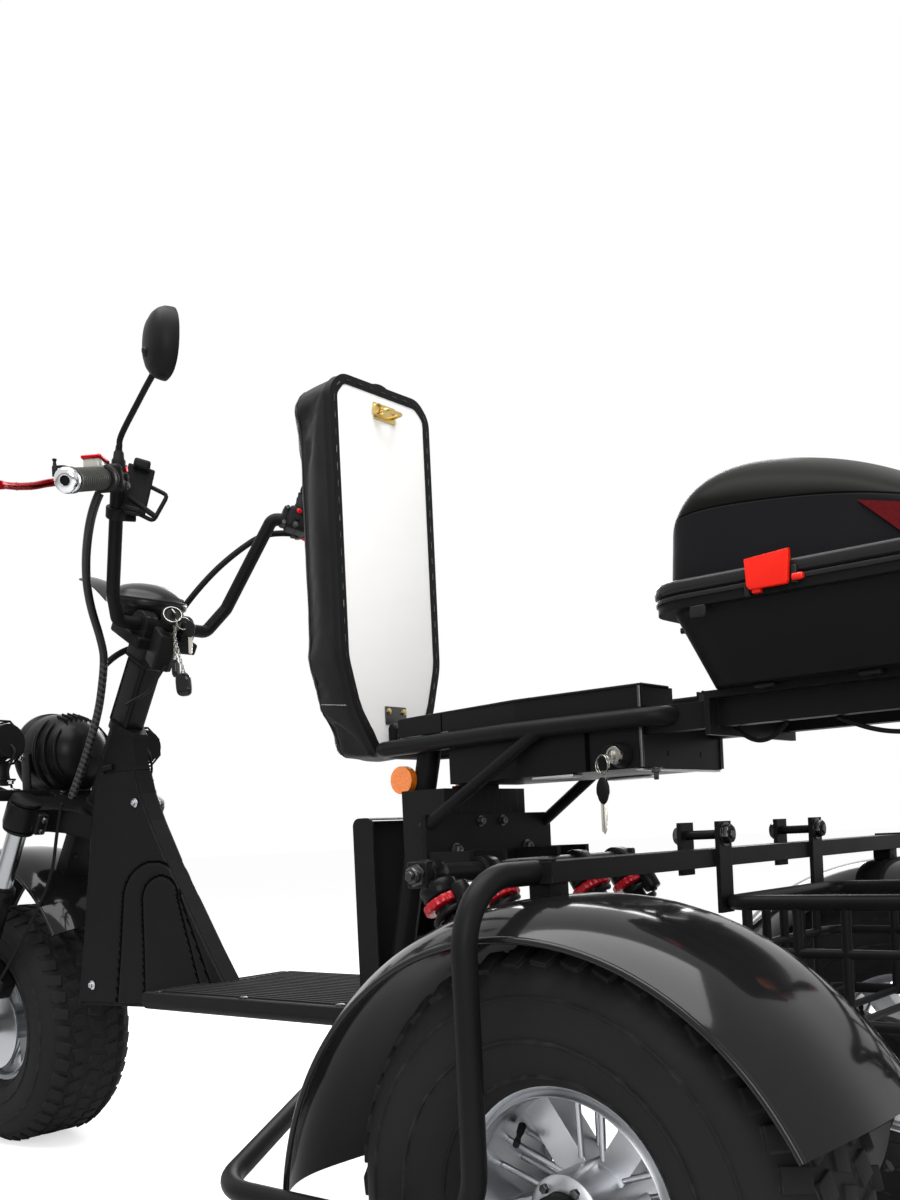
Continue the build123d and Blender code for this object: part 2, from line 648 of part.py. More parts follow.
# Seat
outline = [(seat_low_z, 42), (690, 58), (730, 84), (803, seat_half), (seat_high_z - 24, seat_half),
           (seat_high_z, seat_half - 24)]
pts = [(y, z) for z, y in outline] + [(-y, z) for z, y in reversed(outline)]
seat_face = Plane.YZ * make_face(Polyline(*pts, close=True))
seat_plate = Pos(seat_plane_x, 0, 0) * extrude(seat_face, board_thick)
hinge_leaf = block(seat_plane_x - 4, seat_plane_x, -24, 24, hinge_z - 10, hinge_z + 40)
knuckle = rod((hinge_x, -14, hinge_z), (hinge_x, 14, hinge_z), 6)
link = block(hinge_x, seat_plane_x, -14, 14, hinge_z - 3, hinge_z + 6)
latch_hw = block(seat_plane_x - 22, seat_plane_x, -30, 20, 1150, 1176) - block(seat_plane_x - 18, seat_plane_x - 6, -22, 12, 1140, 1190)
seat_base = seat_plate + hinge_leaf + knuckle + link + latch_hw
seat_base = seat_base - rod((hinge_x, -40, hinge_z), (hinge_x, 40, hinge_z), 3.1)
keep("seat_base", seat_base)
cushion = Pos(seat_plane_x + board_thick, 0, 0) * extrude(seat_face, cushion_thick)
cushion = fillet(cushion.faces().sort_by(Axis.X)[-1].edges(), 18)
keep("seat_cushion", cushion)
yoke = rod((hinge_x, -21, hinge_z), (hinge_x, 21, hinge_z), 3)
for sign in (1, -1):
    inner, outer_y = sorted((sign * 15, sign * 21))
    yoke = yoke + block(hinge_x - 6, hinge_x + 6, inner, outer_y, loop_z + 4, hinge_z)
    yoke = yoke + rod((hinge_x, inner, hinge_z), (hinge_x, outer_y, hinge_z), 6)
loop_all = loop + trim(yoke, loop)
keep("seat_loop", loop_all)

everything = Compound([s for solids in parts.values() for s in solids]).bounding_box()
x_shift = -(everything.min.X + everything.max.X) / 2
for name, solids in parts.items():
    moved = [Pos(x_shift, 0, 0) * s for s in solids]
    shape = moved[0] if len(moved) == 1 else Compound(moved)
    shape.label = name
    export_step(shape, "parts/" + name + ".step")
print(len(parts), "nodes, shift", x_shift)
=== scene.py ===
import math
import bpy
import bmesh
from mathutils import Matrix, Vector, noise
from mathutils.bvhtree import BVHTree


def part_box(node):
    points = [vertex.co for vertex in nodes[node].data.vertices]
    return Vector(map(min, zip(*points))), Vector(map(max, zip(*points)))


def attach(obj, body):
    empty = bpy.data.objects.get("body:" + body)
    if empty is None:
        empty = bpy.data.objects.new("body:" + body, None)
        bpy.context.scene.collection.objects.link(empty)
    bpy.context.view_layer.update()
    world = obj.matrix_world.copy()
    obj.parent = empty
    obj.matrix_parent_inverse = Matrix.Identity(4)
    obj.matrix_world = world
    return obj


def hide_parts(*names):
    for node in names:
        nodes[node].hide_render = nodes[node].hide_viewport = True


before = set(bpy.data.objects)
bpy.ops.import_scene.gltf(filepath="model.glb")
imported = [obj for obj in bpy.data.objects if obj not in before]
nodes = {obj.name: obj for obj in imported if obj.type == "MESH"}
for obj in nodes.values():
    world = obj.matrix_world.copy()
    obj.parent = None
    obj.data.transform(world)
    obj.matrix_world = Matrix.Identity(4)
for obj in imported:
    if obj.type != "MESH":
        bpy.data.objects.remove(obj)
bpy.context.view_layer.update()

print("frame loaded", len(nodes), "nodes")

# Places are given in millimetres from the middle of the rear axle
axleLow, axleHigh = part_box("rear_tyre_left")
rearAxleX = (axleLow.x + axleHigh.x) / 2
wheelRise = 228.5       # height of the axles, which is a tyre's radius


def at(x, y, z):
    return Vector((rearAxleX + x / 1000, y / 1000, z / 1000))


def several(points):
    return [at(*p) for p in points]


def turns(count):
    return [2 * math.pi * n / count for n in range(count)]


# A point given in millimetres along a turned frame's own axes
def near(centre, turn, x, y, z):
    return centre + turn @ Vector((x, y, z)) / 1000


def circle(centre, turn, radius, count):
    return [centre + turn @ Vector((0, math.cos(a), math.sin(a))) * radius for a in turns(count)]


# A point on a circle round the y axis, as on a wheel
def roundAxle(centre, angle, radius, y):
    spoke = Vector((math.cos(angle) * radius, y, math.sin(angle) * radius))
    return centre + spoke / 1000


def signedPower(value, power):
    return math.copysign(abs(value) ** power, value)


def addObject(name, data):
    made = bpy.data.objects.new(name, data)
    bpy.context.scene.collection.objects.link(made)
    return made


def evaluatedMesh(source):
    graph = bpy.context.evaluated_depsgraph_get()
    return bpy.data.meshes.new_from_object(source.evaluated_get(graph), depsgraph=graph)


# Links the sockets among the values, and sets the rest
def wire(tree, node, values):
    for key, value in values.items():
        if isinstance(value, bpy.types.NodeSocket):
            tree.links.new(value, node.inputs[key])
        else:
            node.inputs[key].default_value = value
    return node


# Camera and light

shot = {
    "place": at(-583, 1292, 548),
    "heading": -50.22,      # degrees from straight ahead, turned to the right
    "roll": -2.635,
    "lens": 36.24,
    "rise": 0.1977,
}


def placeCamera():
    data = bpy.data.cameras.new("camera")
    data.sensor_fit = "VERTICAL"
    data.sensor_height = 36
    data.sensor_width = 36
    data.lens = shot["lens"]
    data.shift_y = shot["rise"]
    data.clip_start = 0.02
    camera = addObject("camera", data)
    turn = (Matrix.Rotation(math.radians(shot["heading"] - 90), 4, "Z") @ Matrix.Rotation(math.radians(90),
        4, "X") @ Matrix.Rotation(math.radians(shot["roll"]), 4, "Z"))
    camera.matrix_world = Matrix.Translation(shot["place"]) @ turn
    bpy.context.scene.camera = camera


studio = {
    "ambient": 0.42,
    "overhead": {"place": (-0.3, 0.5, 3.4), "aim": (-0.1, 0, 0.5), "size": (3.2, 2.2), "watts": 150},
    "nearSide": {"place": (-2.6, 2.9, 1.9), "aim": (-0.2, 0, 0.7), "size": (1.6, 1.8), "watts": 66},
    "farSide": {"place": (1.6, -2.8, 2.2), "aim": (0.1, 0, 0.6), "size": (2.2, 1.2), "watts": 52},
}


def lightUp():
    scene = bpy.context.scene
    scene.view_settings.view_transform = "Standard"
    world = bpy.data.worlds.new("studio")
    scene.world = world
    world.use_nodes = True
    tree = world.node_tree
    tree.nodes.clear()
    path = tree.nodes.new("ShaderNodeLightPath")
    seen = path.outputs["Is Camera Ray"]
    for ray in ("Is Glossy Ray", "Is Transmission Ray"):
        either = tree.nodes.new("ShaderNodeMath")
        either.operation = "MAXIMUM"
        tree.links.new(seen, either.inputs[0])
        tree.links.new(path.outputs[ray], either.inputs[1])
        seen = either.outputs[0]
    strength = tree.nodes.new("ShaderNodeMapRange")
    strength.inputs["To Min"].default_value = studio["ambient"]
    strength.inputs["To Max"].default_value = 1.0
    tree.links.new(seen, strength.inputs["Value"])
    back = tree.nodes.new("ShaderNodeBackground")
    back.inputs["Color"].default_value = (1, 1, 1, 1)
    tree.links.new(strength.outputs["Result"], back.inputs["Strength"])
    out = tree.nodes.new("ShaderNodeOutputWorld")
    tree.links.new(back.outputs[0], out.inputs["Surface"])
    for name in ("overhead", "nearSide", "farSide"):
        lamp = studio[name]
        data = bpy.data.lights.new(name, "AREA")
        data.shape = "RECTANGLE"
        data.size, data.size_y = lamp["size"]
        data.energy = lamp["watts"]
        light = addObject(name, data)
        light.location = lamp["place"]
        aim = Vector(lamp["aim"]) - Vector(lamp["place"])
        light.rotation_euler = aim.to_track_quat("-Z", "Y").to_euler()


def layFloor():
    mesh = bpy.data.meshes.new("floor")
    reach = 60
    mesh.from_pydata([(-reach, -reach, 0), (reach, -reach, 0), (reach, reach, 0), (-reach, reach, 0)], [],
        [(0, 1, 2, 3)])
    floor = addObject("floor", mesh)
    mat = bpy.data.materials.new("paleFloor")
    mat.use_nodes = True
    tree = mat.node_tree
    shader = tree.nodes["Principled BSDF"]
    wire(tree, shader, {"Base Color": (0.86, 0.86, 0.86, 1), "Roughness": 0.9, "Specular IOR Level": 0.0})
    path = tree.nodes.new("ShaderNodeLightPath")
    glow = tree.nodes.new("ShaderNodeEmission")
    glow.inputs["Color"].default_value = (1, 1, 1, 1)
    amount = tree.nodes.new("ShaderNodeMath")
    amount.operation = "MULTIPLY"
    amount.inputs[1].default_value = 0.62
    tree.links.new(path.outputs["Is Camera Ray"], amount.inputs[0])
    tree.links.new(amount.outputs[0], glow.inputs["Strength"])
    add = tree.nodes.new("ShaderNodeAddShader")
    tree.links.new(shader.outputs[0], add.inputs[0])
    tree.links.new(glow.outputs[0], add.inputs[1])
    tree.links.new(add.outputs[0], tree.nodes["Material Output"].inputs["Surface"])
    mesh.materials.append(mat)


placeCamera()
lightUp()
layFloor()
print("camera, light and floor are set")

# Shader groups shared by the finishes


def newGroup(name, inputs, outputs):
    group = bpy.data.node_groups.new(name, "ShaderNodeTree")
    for label, kind, value in inputs:
        socket = group.interface.new_socket(name=label, in_out="INPUT", socket_type=kind)
        if value is not None:
            socket.default_value = value
    for label, kind in outputs:
        group.interface.new_socket(name=label, in_out="OUTPUT", socket_type=kind)
    return group, group.nodes.new("NodeGroupInput"), group.nodes.new("NodeGroupOutput")


def put(tree, kind, values=None, **settings):
    node = tree.nodes.new(kind)
    for key, value in settings.items():
        setattr(node, key, value)
    return wire(tree, node, values or {})


def calc(tree, operation, a, b=0.0, clamp=False):
    return put(tree, "ShaderNodeMath", {0: a, 1: b}, operation=operation, use_clamp=clamp).outputs[0]


def ramp(tree, value, low, high, toLow=0.0, toHigh=1.0):
    return put(tree, "ShaderNodeMapRange", {"Value": value, "From Min": low, "From Max": high,
        "To Min": toLow, "To Max": toHigh}).outputs["Result"]


def noiseOver(tree, place, scale, detail, rough=0.5):
    return put(tree, "ShaderNodeTexNoise", {"Vector": place, "Scale": scale, "Detail": detail,
        "Roughness": rough})


def relief(tree, height, strength, distance, under=None):
    bump = put(tree, "ShaderNodeBump", {"Height": height, "Strength": strength, "Distance": distance})
    return wire(tree, bump, {"Normal": under} if under else {})


def blendColor(tree, share, first, second, mode="MIX"):
    node = put(tree, "ShaderNodeMix", {0: share}, data_type="RGBA", blend_type=mode)
    return wire(tree, node, {6: first, 7: second}).outputs[2]


def buildEdgeWear():
    group, source, sink = newGroup("edgeWear", [("Vector", "NodeSocketVector", None),
        ("Width", "NodeSocketFloat", 0.003), ("Breakup", "NodeSocketFloat", 60.0)],
            [("Mask", "NodeSocketFloat")])
    bevel = put(group, "ShaderNodeBevel", {"Radius": source.outputs["Width"]}, samples=4)
    geometry = put(group, "ShaderNodeNewGeometry")
    dot = put(group, "ShaderNodeVectorMath", {0: bevel.outputs[0], 1: geometry.outputs["Normal"]},
        operation="DOT_PRODUCT")
    edge = ramp(group, dot.outputs["Value"], 0.985, 0.86)
    grit = noiseOver(group, source.outputs["Vector"], source.outputs["Breakup"], 5.0)
    broken = ramp(group, grit.outputs["Fac"], 0.5, 0.64)
    group.links.new(calc(group, "MULTIPLY", edge, broken), sink.inputs["Mask"])
    return group


def buildGrain():
    group, source, sink = newGroup("fineGrain", [("Vector", "NodeSocketVector", None),
        ("Scale", "NodeSocketFloat", 900.0), ("Soft", "NodeSocketFloat", 0.35)],
            [("Height", "NodeSocketFloat"), ("Mask", "NodeSocketFloat")])
    fine = noiseOver(group, source.outputs["Vector"], source.outputs["Scale"], 2.0)
    cells = put(group, "ShaderNodeTexVoronoi", {"Vector": source.outputs["Vector"],
        "Scale": source.outputs["Scale"]})
    height = put(group, "ShaderNodeMix", {0: source.outputs["Soft"], 2: fine.outputs["Fac"],
        3: cells.outputs["Distance"]})
    broad = noiseOver(group, source.outputs["Vector"], 9.0, 4.0, 0.6)
    group.links.new(height.outputs[0], sink.inputs["Height"])
    group.links.new(broad.outputs["Fac"], sink.inputs["Mask"])
    return group


def buildDust():
    group, source, sink = newGroup("restingDust",
        [("Vector", "NodeSocketVector", None), ("Amount", "NodeSocketFloat", 0.2)],
        [("Mask", "NodeSocketFloat")])
    geometry = put(group, "ShaderNodeNewGeometry")
    split = put(group, "ShaderNodeSeparateXYZ", {0: geometry.outputs["Normal"]})
    up = ramp(group, split.outputs["Z"], 0.2, 1.0)
    cloud = noiseOver(group, source.outputs["Vector"], 14.0, 8.0, 0.7)
    patch = ramp(group, cloud.outputs["Fac"], 0.42, 0.75)
    group.links.new(calc(group, "MULTIPLY", calc(group, "MULTIPLY", up, patch), source.outputs["Amount"]),
        sink.inputs["Mask"])
    return group


def buildPebble():
    group, source, sink = newGroup("leatherPebble",
        [("Vector", "NodeSocketVector", None), ("Scale", "NodeSocketFloat", 380.0)],
        [("Height", "NodeSocketFloat"), ("Mask", "NodeSocketFloat")])
    warp = noiseOver(group, source.outputs["Vector"], 40.0, 2.0)
    shift = put(group, "ShaderNodeVectorMath", {0: warp.outputs["Color"], 1: (0.004, 0.004, 0.004)},
        operation="MULTIPLY")
    moved = put(group, "ShaderNodeVectorMath", {0: source.outputs["Vector"], 1: shift.outputs[0]},
        operation="ADD")
    cells = put(group, "ShaderNodeTexVoronoi", {"Vector": moved.outputs[0],
        "Scale": source.outputs["Scale"]}, feature="DISTANCE_TO_EDGE")
    pebble = ramp(group, cells.outputs["Distance"], 0.0, 0.22)
    crease = noiseOver(group, source.outputs["Vector"], 26.0, 6.0, 0.62)
    height = put(group, "ShaderNodeMix", {0: 0.35, 2: pebble, 3: crease.outputs["Fac"]})
    group.links.new(height.outputs[0], sink.inputs["Height"])
    group.links.new(crease.outputs["Fac"], sink.inputs["Mask"])
    return group


groups = {"edgeWear": buildEdgeWear(), "fineGrain": buildGrain(), "restingDust": buildDust(),
    "leatherPebble": buildPebble()}

# Finishes, one row each; colours are linear, and what a row leaves out is in commonLook

commonLook = dict(specular=0.5, metal=0.0, coat=0.0, coatRough=0.03, grain=900, bump=0.05, wear=0.05,
    wearWidth=0.0006, dust=0.05)
finishes = {
    "satinBlack": dict(color=(0.006, 0.006, 0.0063), second=(0.009, 0.009, 0.0094), rough=(0.34, 0.46),
        specular=0.06, grain=1100, bump=0.1, wear=(0.05, 0.05, 0.052), wearWidth=0.0012, dust=0.04),
    "glossBlack": dict(color=0.006, second=(0.009, 0.009, 0.01), rough=(0.1, 0.16), specular=0.08,
        coat=0.24, coatRough=0.06, grain=300, bump=0.015, wear=0.03, wearWidth=0.0008, dust=0.02),
    "casePlastic": dict(color=(0.0055, 0.0055, 0.006), second=(0.008, 0.008, 0.0085), rough=(0.42, 0.54),
        specular=0.05, grain=1500, bump=0.12, wearWidth=0.001, dust=0.04),
    "darkPlastic": dict(color=(0.007, 0.007, 0.0074), second=(0.0105, 0.0105, 0.011), rough=(0.38, 0.52),
        specular=0.07, grain=1400, bump=0.1, wearWidth=0.0008, dust=0.04),
    "tyreRubber": dict(color=(0.01, 0.01, 0.0105), second=(0.0165, 0.016, 0.0155), rough=(0.62, 0.8),
        specular=0.08, grain=700, bump=0.18, wear=(0.05, 0.05, 0.048), wearWidth=0.002, dust=0.25),
    "softRubber": dict(color=0.0065, second=0.01, rough=(0.55, 0.7), specular=0.08, grain=1200, bump=0.12,
        wear=0.03),
    "castAlloy": dict(color=(0.42, 0.43, 0.45), second=(0.5, 0.51, 0.53), rough=(0.28, 0.42), metal=1.0,
        bump=0.08, wear=(0.7, 0.7, 0.72), wearWidth=0.0012, dust=0.12),
    "chrome": dict(color=(0.62, 0.63, 0.65), second=(0.7, 0.7, 0.72), rough=(0.06, 0.14), metal=1.0,
        grain=600, bump=0.01, wear=0.8),
    "steelBolt": dict(color=(0.05, 0.05, 0.052), second=(0.09, 0.09, 0.092), rough=(0.25, 0.4), metal=1.0,
        bump=0.06, wear=(0.35, 0.35, 0.36), dust=0.08),
    "yellowZinc": dict(color=(0.62, 0.42, 0.1), second=(0.52, 0.44, 0.24), rough=(0.22, 0.38), metal=1.0,
        grain=300, bump=0.04, wear=(0.8, 0.72, 0.5)),
    "redAnodised": dict(color=(0.42, 0.006, 0.012), second=(0.52, 0.01, 0.016), rough=(0.18, 0.28),
        metal=1.0, bump=0.03, wear=(0.7, 0.3, 0.3), wearWidth=0.0005, dust=0.03),
    "latchRed": dict(color=(0.74, 0.012, 0.003), second=(0.66, 0.009, 0.002), rough=(0.26, 0.36),
        specular=0.25, grain=1200, bump=0.04, wear=(0.85, 0.15, 0.08), dust=0.03),
    "springRed": dict(color=(0.4, 0.003, 0.012), second=(0.32, 0.002, 0.009), rough=(0.2, 0.32),
        specular=0.3, bump=0.03, wear=(0.6, 0.2, 0.2), wearWidth=0.0005),
    "boardWhite": dict(color=(0.93, 0.925, 0.91), second=(0.87, 0.86, 0.84), rough=(0.55, 0.7),
        specular=0.3, grain=240, bump=0.1, wear=(0.85, 0.84, 0.8), wearWidth=0.0008, dust=0.0),
    "seatTrim": dict(color=(0.006, 0.006, 0.0064), second=(0.009, 0.009, 0.0094), rough=(0.4, 0.55),
        specular=0.08, bump=0.12, wear=0.04, dust=0.0),
    "whiteThread": dict(color=(0.62, 0.6, 0.56), second=(0.5, 0.48, 0.45), rough=(0.7, 0.85), specular=0.2,
        grain=2500, bump=0.3, wear=(0.7, 0.68, 0.65), wearWidth=0.0002, dust=0.0),
    "pillCase": dict(color=(0.03, 0.032, 0.04), second=(0.04, 0.042, 0.05), rough=(0.3, 0.4),
        wear=(0.08, 0.08, 0.09), wearWidth=0.001),
    "keyBrass": dict(color=(0.55, 0.53, 0.48), second=(0.45, 0.43, 0.38), rough=(0.2, 0.35), metal=1.0,
        grain=800, wear=(0.7, 0.7, 0.66), wearWidth=0.0004, dust=0.0),
    "gripRubber": dict(color=(0.016, 0.017, 0.013), second=(0.024, 0.025, 0.019), rough=(0.5, 0.65),
        specular=0.2, grain=1300, bump=0.15, wear=(0.05, 0.05, 0.045), dust=0.12),
    "tankPlastic": dict(color=(0.4, 0.39, 0.35), second=(0.32, 0.31, 0.28), rough=(0.15, 0.25), grain=500,
        bump=0.03, wear=(0.6, 0.6, 0.56), wearWidth=0.0005),
    "domeGloss": dict(color=(0.008, 0.008, 0.009), second=(0.011, 0.011, 0.012), rough=(0.2, 0.28),
        specular=0.14, grain=500, bump=0.02, wear=0.06),
    "greyScreen": dict(color=(0.012, 0.012, 0.013), second=(0.018, 0.018, 0.019), rough=(0.2, 0.3),
        specular=0.12, grain=700, bump=0.03, wear=0.3, wearWidth=0.0005),
    "shellBlack": dict(color=0.0045, second=0.0065, rough=(0.24, 0.34), specular=0.08, wearWidth=0.001,
        dust=0.03),
    "forkChrome": dict(color=(0.3, 0.31, 0.32), second=(0.36, 0.37, 0.38), rough=(0.16, 0.24), metal=1.0,
        grain=600, bump=0.02, wear=0.6, dust=0.06),
    "rimPlastic": dict(color=0.012, second=0.016, rough=(0.2, 0.28), specular=0.1, grain=1200, bump=0.04,
        wearWidth=0.0012, dust=0.03),
    # Near-black finish used as painted shade in grooves, slots and holes
    "paintedShadeBlack": dict(color=0.001, second=0.002, rough=(0.8, 0.9), specular=0.02, wear=0.003,
        wearWidth=0.0003, dust=0.0),
    "lockChrome": dict(color=(0.2, 0.2, 0.18), second=(0.27, 0.26, 0.24), rough=(0.2, 0.3), metal=1.0,
        grain=700, bump=0.02, wear=(0.7, 0.7, 0.66), wearWidth=0.0005, dust=0.02),
    "matRubber": dict(color=0.018, second=0.026, rough=(0.6, 0.75), specular=0.06, grain=1100, bump=0.15,
        dust=0.12),
    "castDark": dict(color=(0.02, 0.02, 0.021), second=(0.03, 0.03, 0.031), rough=(0.4, 0.55),
        specular=0.12, grain=700, bump=0.15, wear=0.08, wearWidth=0.0008, dust=0.08),
    "greySheath": dict(color=(0.035, 0.035, 0.037), second=(0.05, 0.05, 0.052), rough=(0.4, 0.55),
        specular=0.25, grain=1600, bump=0.1, wear=0.07, wearWidth=0.0004),
}


def newMaterial(name):
    mat = bpy.data.materials.new(name)
    mat.use_nodes = True
    tree = mat.node_tree
    place = put(tree, "ShaderNodeTexCoord").outputs["Object"]
    return mat, tree, tree.nodes["Principled BSDF"], place


def addEffect(tree, name, place, label, value):
    effect = put(tree, "ShaderNodeGroup", node_tree=groups[name])
    return wire(tree, effect, {"Vector": place, label: value})


# A plain number stands for a grey
def tone(value):
    return (value, value, value, 1) if isinstance(value, float) else (*value, 1)


def makeFinish(name, own):
    look = {**commonLook, **own}
    mat, tree, shader, place = newMaterial(name)
    grain = addEffect(tree, "fineGrain", place, "Scale", look["grain"])
    wear = addEffect(tree, "edgeWear", place, "Width", look["wearWidth"])
    base = blendColor(tree, grain.outputs["Mask"], tone(look["color"]), tone(look["second"]))
    worn = blendColor(tree, calc(tree, "MULTIPLY", wear.outputs["Mask"], 0.7), base, tone(look["wear"]))
    rough = ramp(tree, grain.outputs["Mask"], 0.3, 0.7, *look["rough"])
    if look["dust"]:
        dust = addEffect(tree, "restingDust", place, "Amount", look["dust"])
        worn = blendColor(tree, dust.outputs["Mask"], worn, (0.16, 0.15, 0.14, 1))
        rough = calc(tree, "ADD", rough, calc(tree, "MULTIPLY", dust.outputs["Mask"], 0.5), clamp=True)
    wire(tree, shader, {"Base Color": worn, "Roughness": rough})
    bump = relief(tree, grain.outputs["Height"], look["bump"], 0.0006)
    soft = put(tree, "ShaderNodeBevel", {"Radius": look["wearWidth"]}, samples=4)
    tree.links.new(soft.outputs[0], bump.inputs["Normal"])
    wire(tree, shader, {"Normal": bump.outputs["Normal"], "Metallic": look["metal"],
        "Specular IOR Level": look["specular"], "Coat Weight": look["coat"],
        "Coat Roughness": look["coatRough"]})
    return mat


mats = {name: makeFinish(name, own) for name, own in finishes.items()}


def makeLeather():
    mat, tree, shader, place = newMaterial("blackLeatherette")
    pebble = addEffect(tree, "leatherPebble", place, "Scale", 420)
    base = blendColor(tree, ramp(tree, pebble.outputs["Mask"], 0.35, 0.7), (0.0075, 0.0075, 0.0078, 1),
        (0.013, 0.013, 0.0135, 1))
    wire(tree, shader, {"Base Color": base, "Roughness": ramp(tree, pebble.outputs["Mask"], 0.3, 0.7, 0.4,
        0.52)})
    bump = relief(tree, pebble.outputs["Height"], 0.35, 0.0006)
    wire(tree, shader, {"Normal": bump.outputs["Normal"], "Specular IOR Level": 0.09, "Sheen Weight": 0.05,
        "Sheen Roughness": 0.4})
    return mat


mats["blackLeatherette"] = makeLeather()


def makeLens(name, color, deep, coat=1.0, specular=0.5):
    mat, tree, shader, place = newMaterial(name)
    facets = put(tree, "ShaderNodeTexVoronoi", {"Vector": place, "Scale": 260.0}, distance="CHEBYCHEV")
    broad = noiseOver(tree, place, 30.0, 2.0)
    base = blendColor(tree, facets.outputs["Distance"], (*color, 1), (*deep, 1))
    wire(tree, shader, {"Base Color": base, "Roughness": ramp(tree, broad.outputs["Fac"], 0.3, 0.7, 0.05,
        0.12)})
    bump = relief(tree, facets.outputs["Distance"], 0.25, 0.001)
    wire(tree, shader, {"Normal": bump.outputs["Normal"], "Specular IOR Level": specular,
        "Coat Weight": coat, "Coat Roughness": 0.03})
    return mat


mats["orangeLens"] = makeLens("orangeLens", (0.85, 0.22, 0.01), (0.55, 0.1, 0.004))
mats["smokedRed"] = makeLens("smokedRed", (0.09, 0.001, 0.003), (0.045, 0.001, 0.002), 0.06, 0.1)
mats["tailRed"] = makeLens("tailRed", (0.42, 0.003, 0.004), (0.2, 0.001, 0.002))
mats["clearLens"] = makeLens("clearLens", (0.62, 0.64, 0.66), (0.25, 0.26, 0.28))
mats["darkLens"] = makeLens("darkLens", (0.02, 0.02, 0.022), (0.006, 0.006, 0.008))
print(len(mats), "finishes are ready")

# CAD nodes that keep their shape get their finish here

nodeFinish = {
    "satinBlack": ("main_frame", "seat_loop", "battery_tray", "cross_plate", "crossbar_hoop",
        "cargo_basket", "tail_rack", "rear_axle", "lower_clamp", "handlebar", "front_shield",
        "steering_stem"),
    "glossBlack": ("rear_mudguards", "front_mudguard", "instrument"),
    "casePlastic": ("case_body", "case_lid"),
    "darkPlastic": ("controller_box", "pillar_cover", "front_signals", "control_pods", "phone_holder",
        "spot_lamps", "headlamp", "mirrors"),
    "softRubber": ("footboard", "grips", "control_cables", "rack_wiring"),
    "tyreRubber": ("front_tyre", "rear_tyre_left", "rear_tyre_right"),
    "castAlloy": ("front_rim", "rear_rim_left", "rear_rim_right"),
    "chrome": ("fork_legs",),
    "redAnodised": ("brake_levers",),
    "latchRed": ("case_latches",),
    "smokedRed": ("case_reflectors",),
    "orangeLens": ("side_reflectors", "rear_lamps"),
    "boardWhite": ("seat_base",),
    "blackLeatherette": ("seat_cushion",),
    "pillCase": ("battery_pack",),
    "steelBolt": ("shock_absorbers",),
}
for finish, names in nodeFinish.items():
    for name in names:
        nodes[name].data.materials.clear()
        nodes[name].data.materials.append(mats[finish])
print("CAD nodes have their finishes")

# Mesh making shared by the pieces


def softPath(points, steps=8, closed=False):
    count = len(points)
    out = []
    for k in range(count if closed else count - 1):
        p0 = points[(k - 1) % count] if closed or k else points[0]
        p1, p2 = points[k], points[(k + 1) % count]
        p3 = points[(k + 2) % count] if closed or k + 2 < count else points[-1]
        for n in range(steps):
            t = n / steps
            square, cube = 2 * p0 - 5 * p1 + 4 * p2 - p3, 3 * p1 - p0 - 3 * p2 + p3
            out.append(0.5 * ((2 * p1) + (p2 - p0) * t + square * t * t + cube * t ** 3))
    if not closed:
        out.append(points[-1].copy())
    return out


def addFaces(bm, verts, faces, finish=0):
    made = [bm.verts.new(v) for v in verts]
    new = [bm.faces.new([made[i] for i in face]) for face in faces]
    for face in new:
        face.material_index = finish
        face.smooth = True
    bmesh.ops.recalc_face_normals(bm, faces=new)
    return new


def addRings(bm, rings, finish=0, closed=False, caps=True):
    sides = len(rings[0])
    verts = [v for ring in rings for v in ring]
    faces = []
    count = len(rings)
    for k in range(count if closed else count - 1):
        a, b = k * sides, ((k + 1) % count) * sides
        for n in range(sides):
            m = (n + 1) % sides
            faces.append((a + n, a + m, b + m, b + n))
    if caps and not closed:
        faces.append(tuple(range(sides)))
        faces.append(tuple(range((count - 1) * sides, count * sides)))
    return addFaces(bm, verts, faces, finish)


def outward(side, other, angle):
    return side * math.cos(angle) + other * math.sin(angle)


def axisFrame(axis):
    axis = Vector(axis).normalized()
    side = axis.orthogonal().normalized()
    return axis, side, axis.cross(side)


def cap(*rows):
    return [(0, rows[0][1]), *rows, (0, rows[-1][1])]


# profile rows are (radius, distance along the axis), in millimetres; ends close on the axis
def addLathe(bm, profile, origin, axis, steps=40, finish=0):
    axis, side, other = axisFrame(axis)
    rings = []
    for radius, along in profile:
        radius = max(radius, 0.02)
        rings.append([origin + axis * (along / 1000) + outward(side, other,
            2 * math.pi * n / steps) * (radius / 1000) for n in range(steps)])
    return addRings(bm, rings, finish)


def addTube(bm, path, radius, sides=12, finish=0, taper=None, closed=False):
    rings = []
    count = len(path)
    side = None
    for k, point in enumerate(path):
        ahead = path[(k + 1) % count] if closed or k + 1 < count else point
        behind = path[k - 1] if closed or k else point
        along = (ahead - behind).normalized()
        if side is None:
            side = along.orthogonal().normalized()
        side = (side - along * side.dot(along)).normalized()
        other = along.cross(side)
        r = (taper[k] if taper else radius) / 1000
        rings.append([point + outward(side, other, 2 * math.pi * n / sides) * r for n in range(sides)])
    return addRings(bm, rings, finish, closed=closed)


# A turn whose local x points forward and local z close to up
def turnTo(forward, up=(0, 0, 1)):
    x = Vector(forward).normalized()
    y = Vector(up).cross(x).normalized()
    z = x.cross(y)
    return Matrix((x, y, z)).transposed()


# A block with rounded edges; size and rounding in millimetres
def addBlock(bm, centre, size, turn=None, soft=2.0, finish=0, segments=2):
    part = bmesh.new()
    bmesh.ops.create_cube(part, size=1)
    for v in part.verts:
        v.co = Vector((v.co.x * size[0], v.co.y * size[1], v.co.z * size[2])) / 1000
    if soft:
        bmesh.ops.bevel(part, geom=part.edges[:], offset=min(soft, min(size) * 0.45) / 1000,
            segments=segments, profile=0.6, affect="EDGES")
    return pour(bm, part, centre, turn, finish)


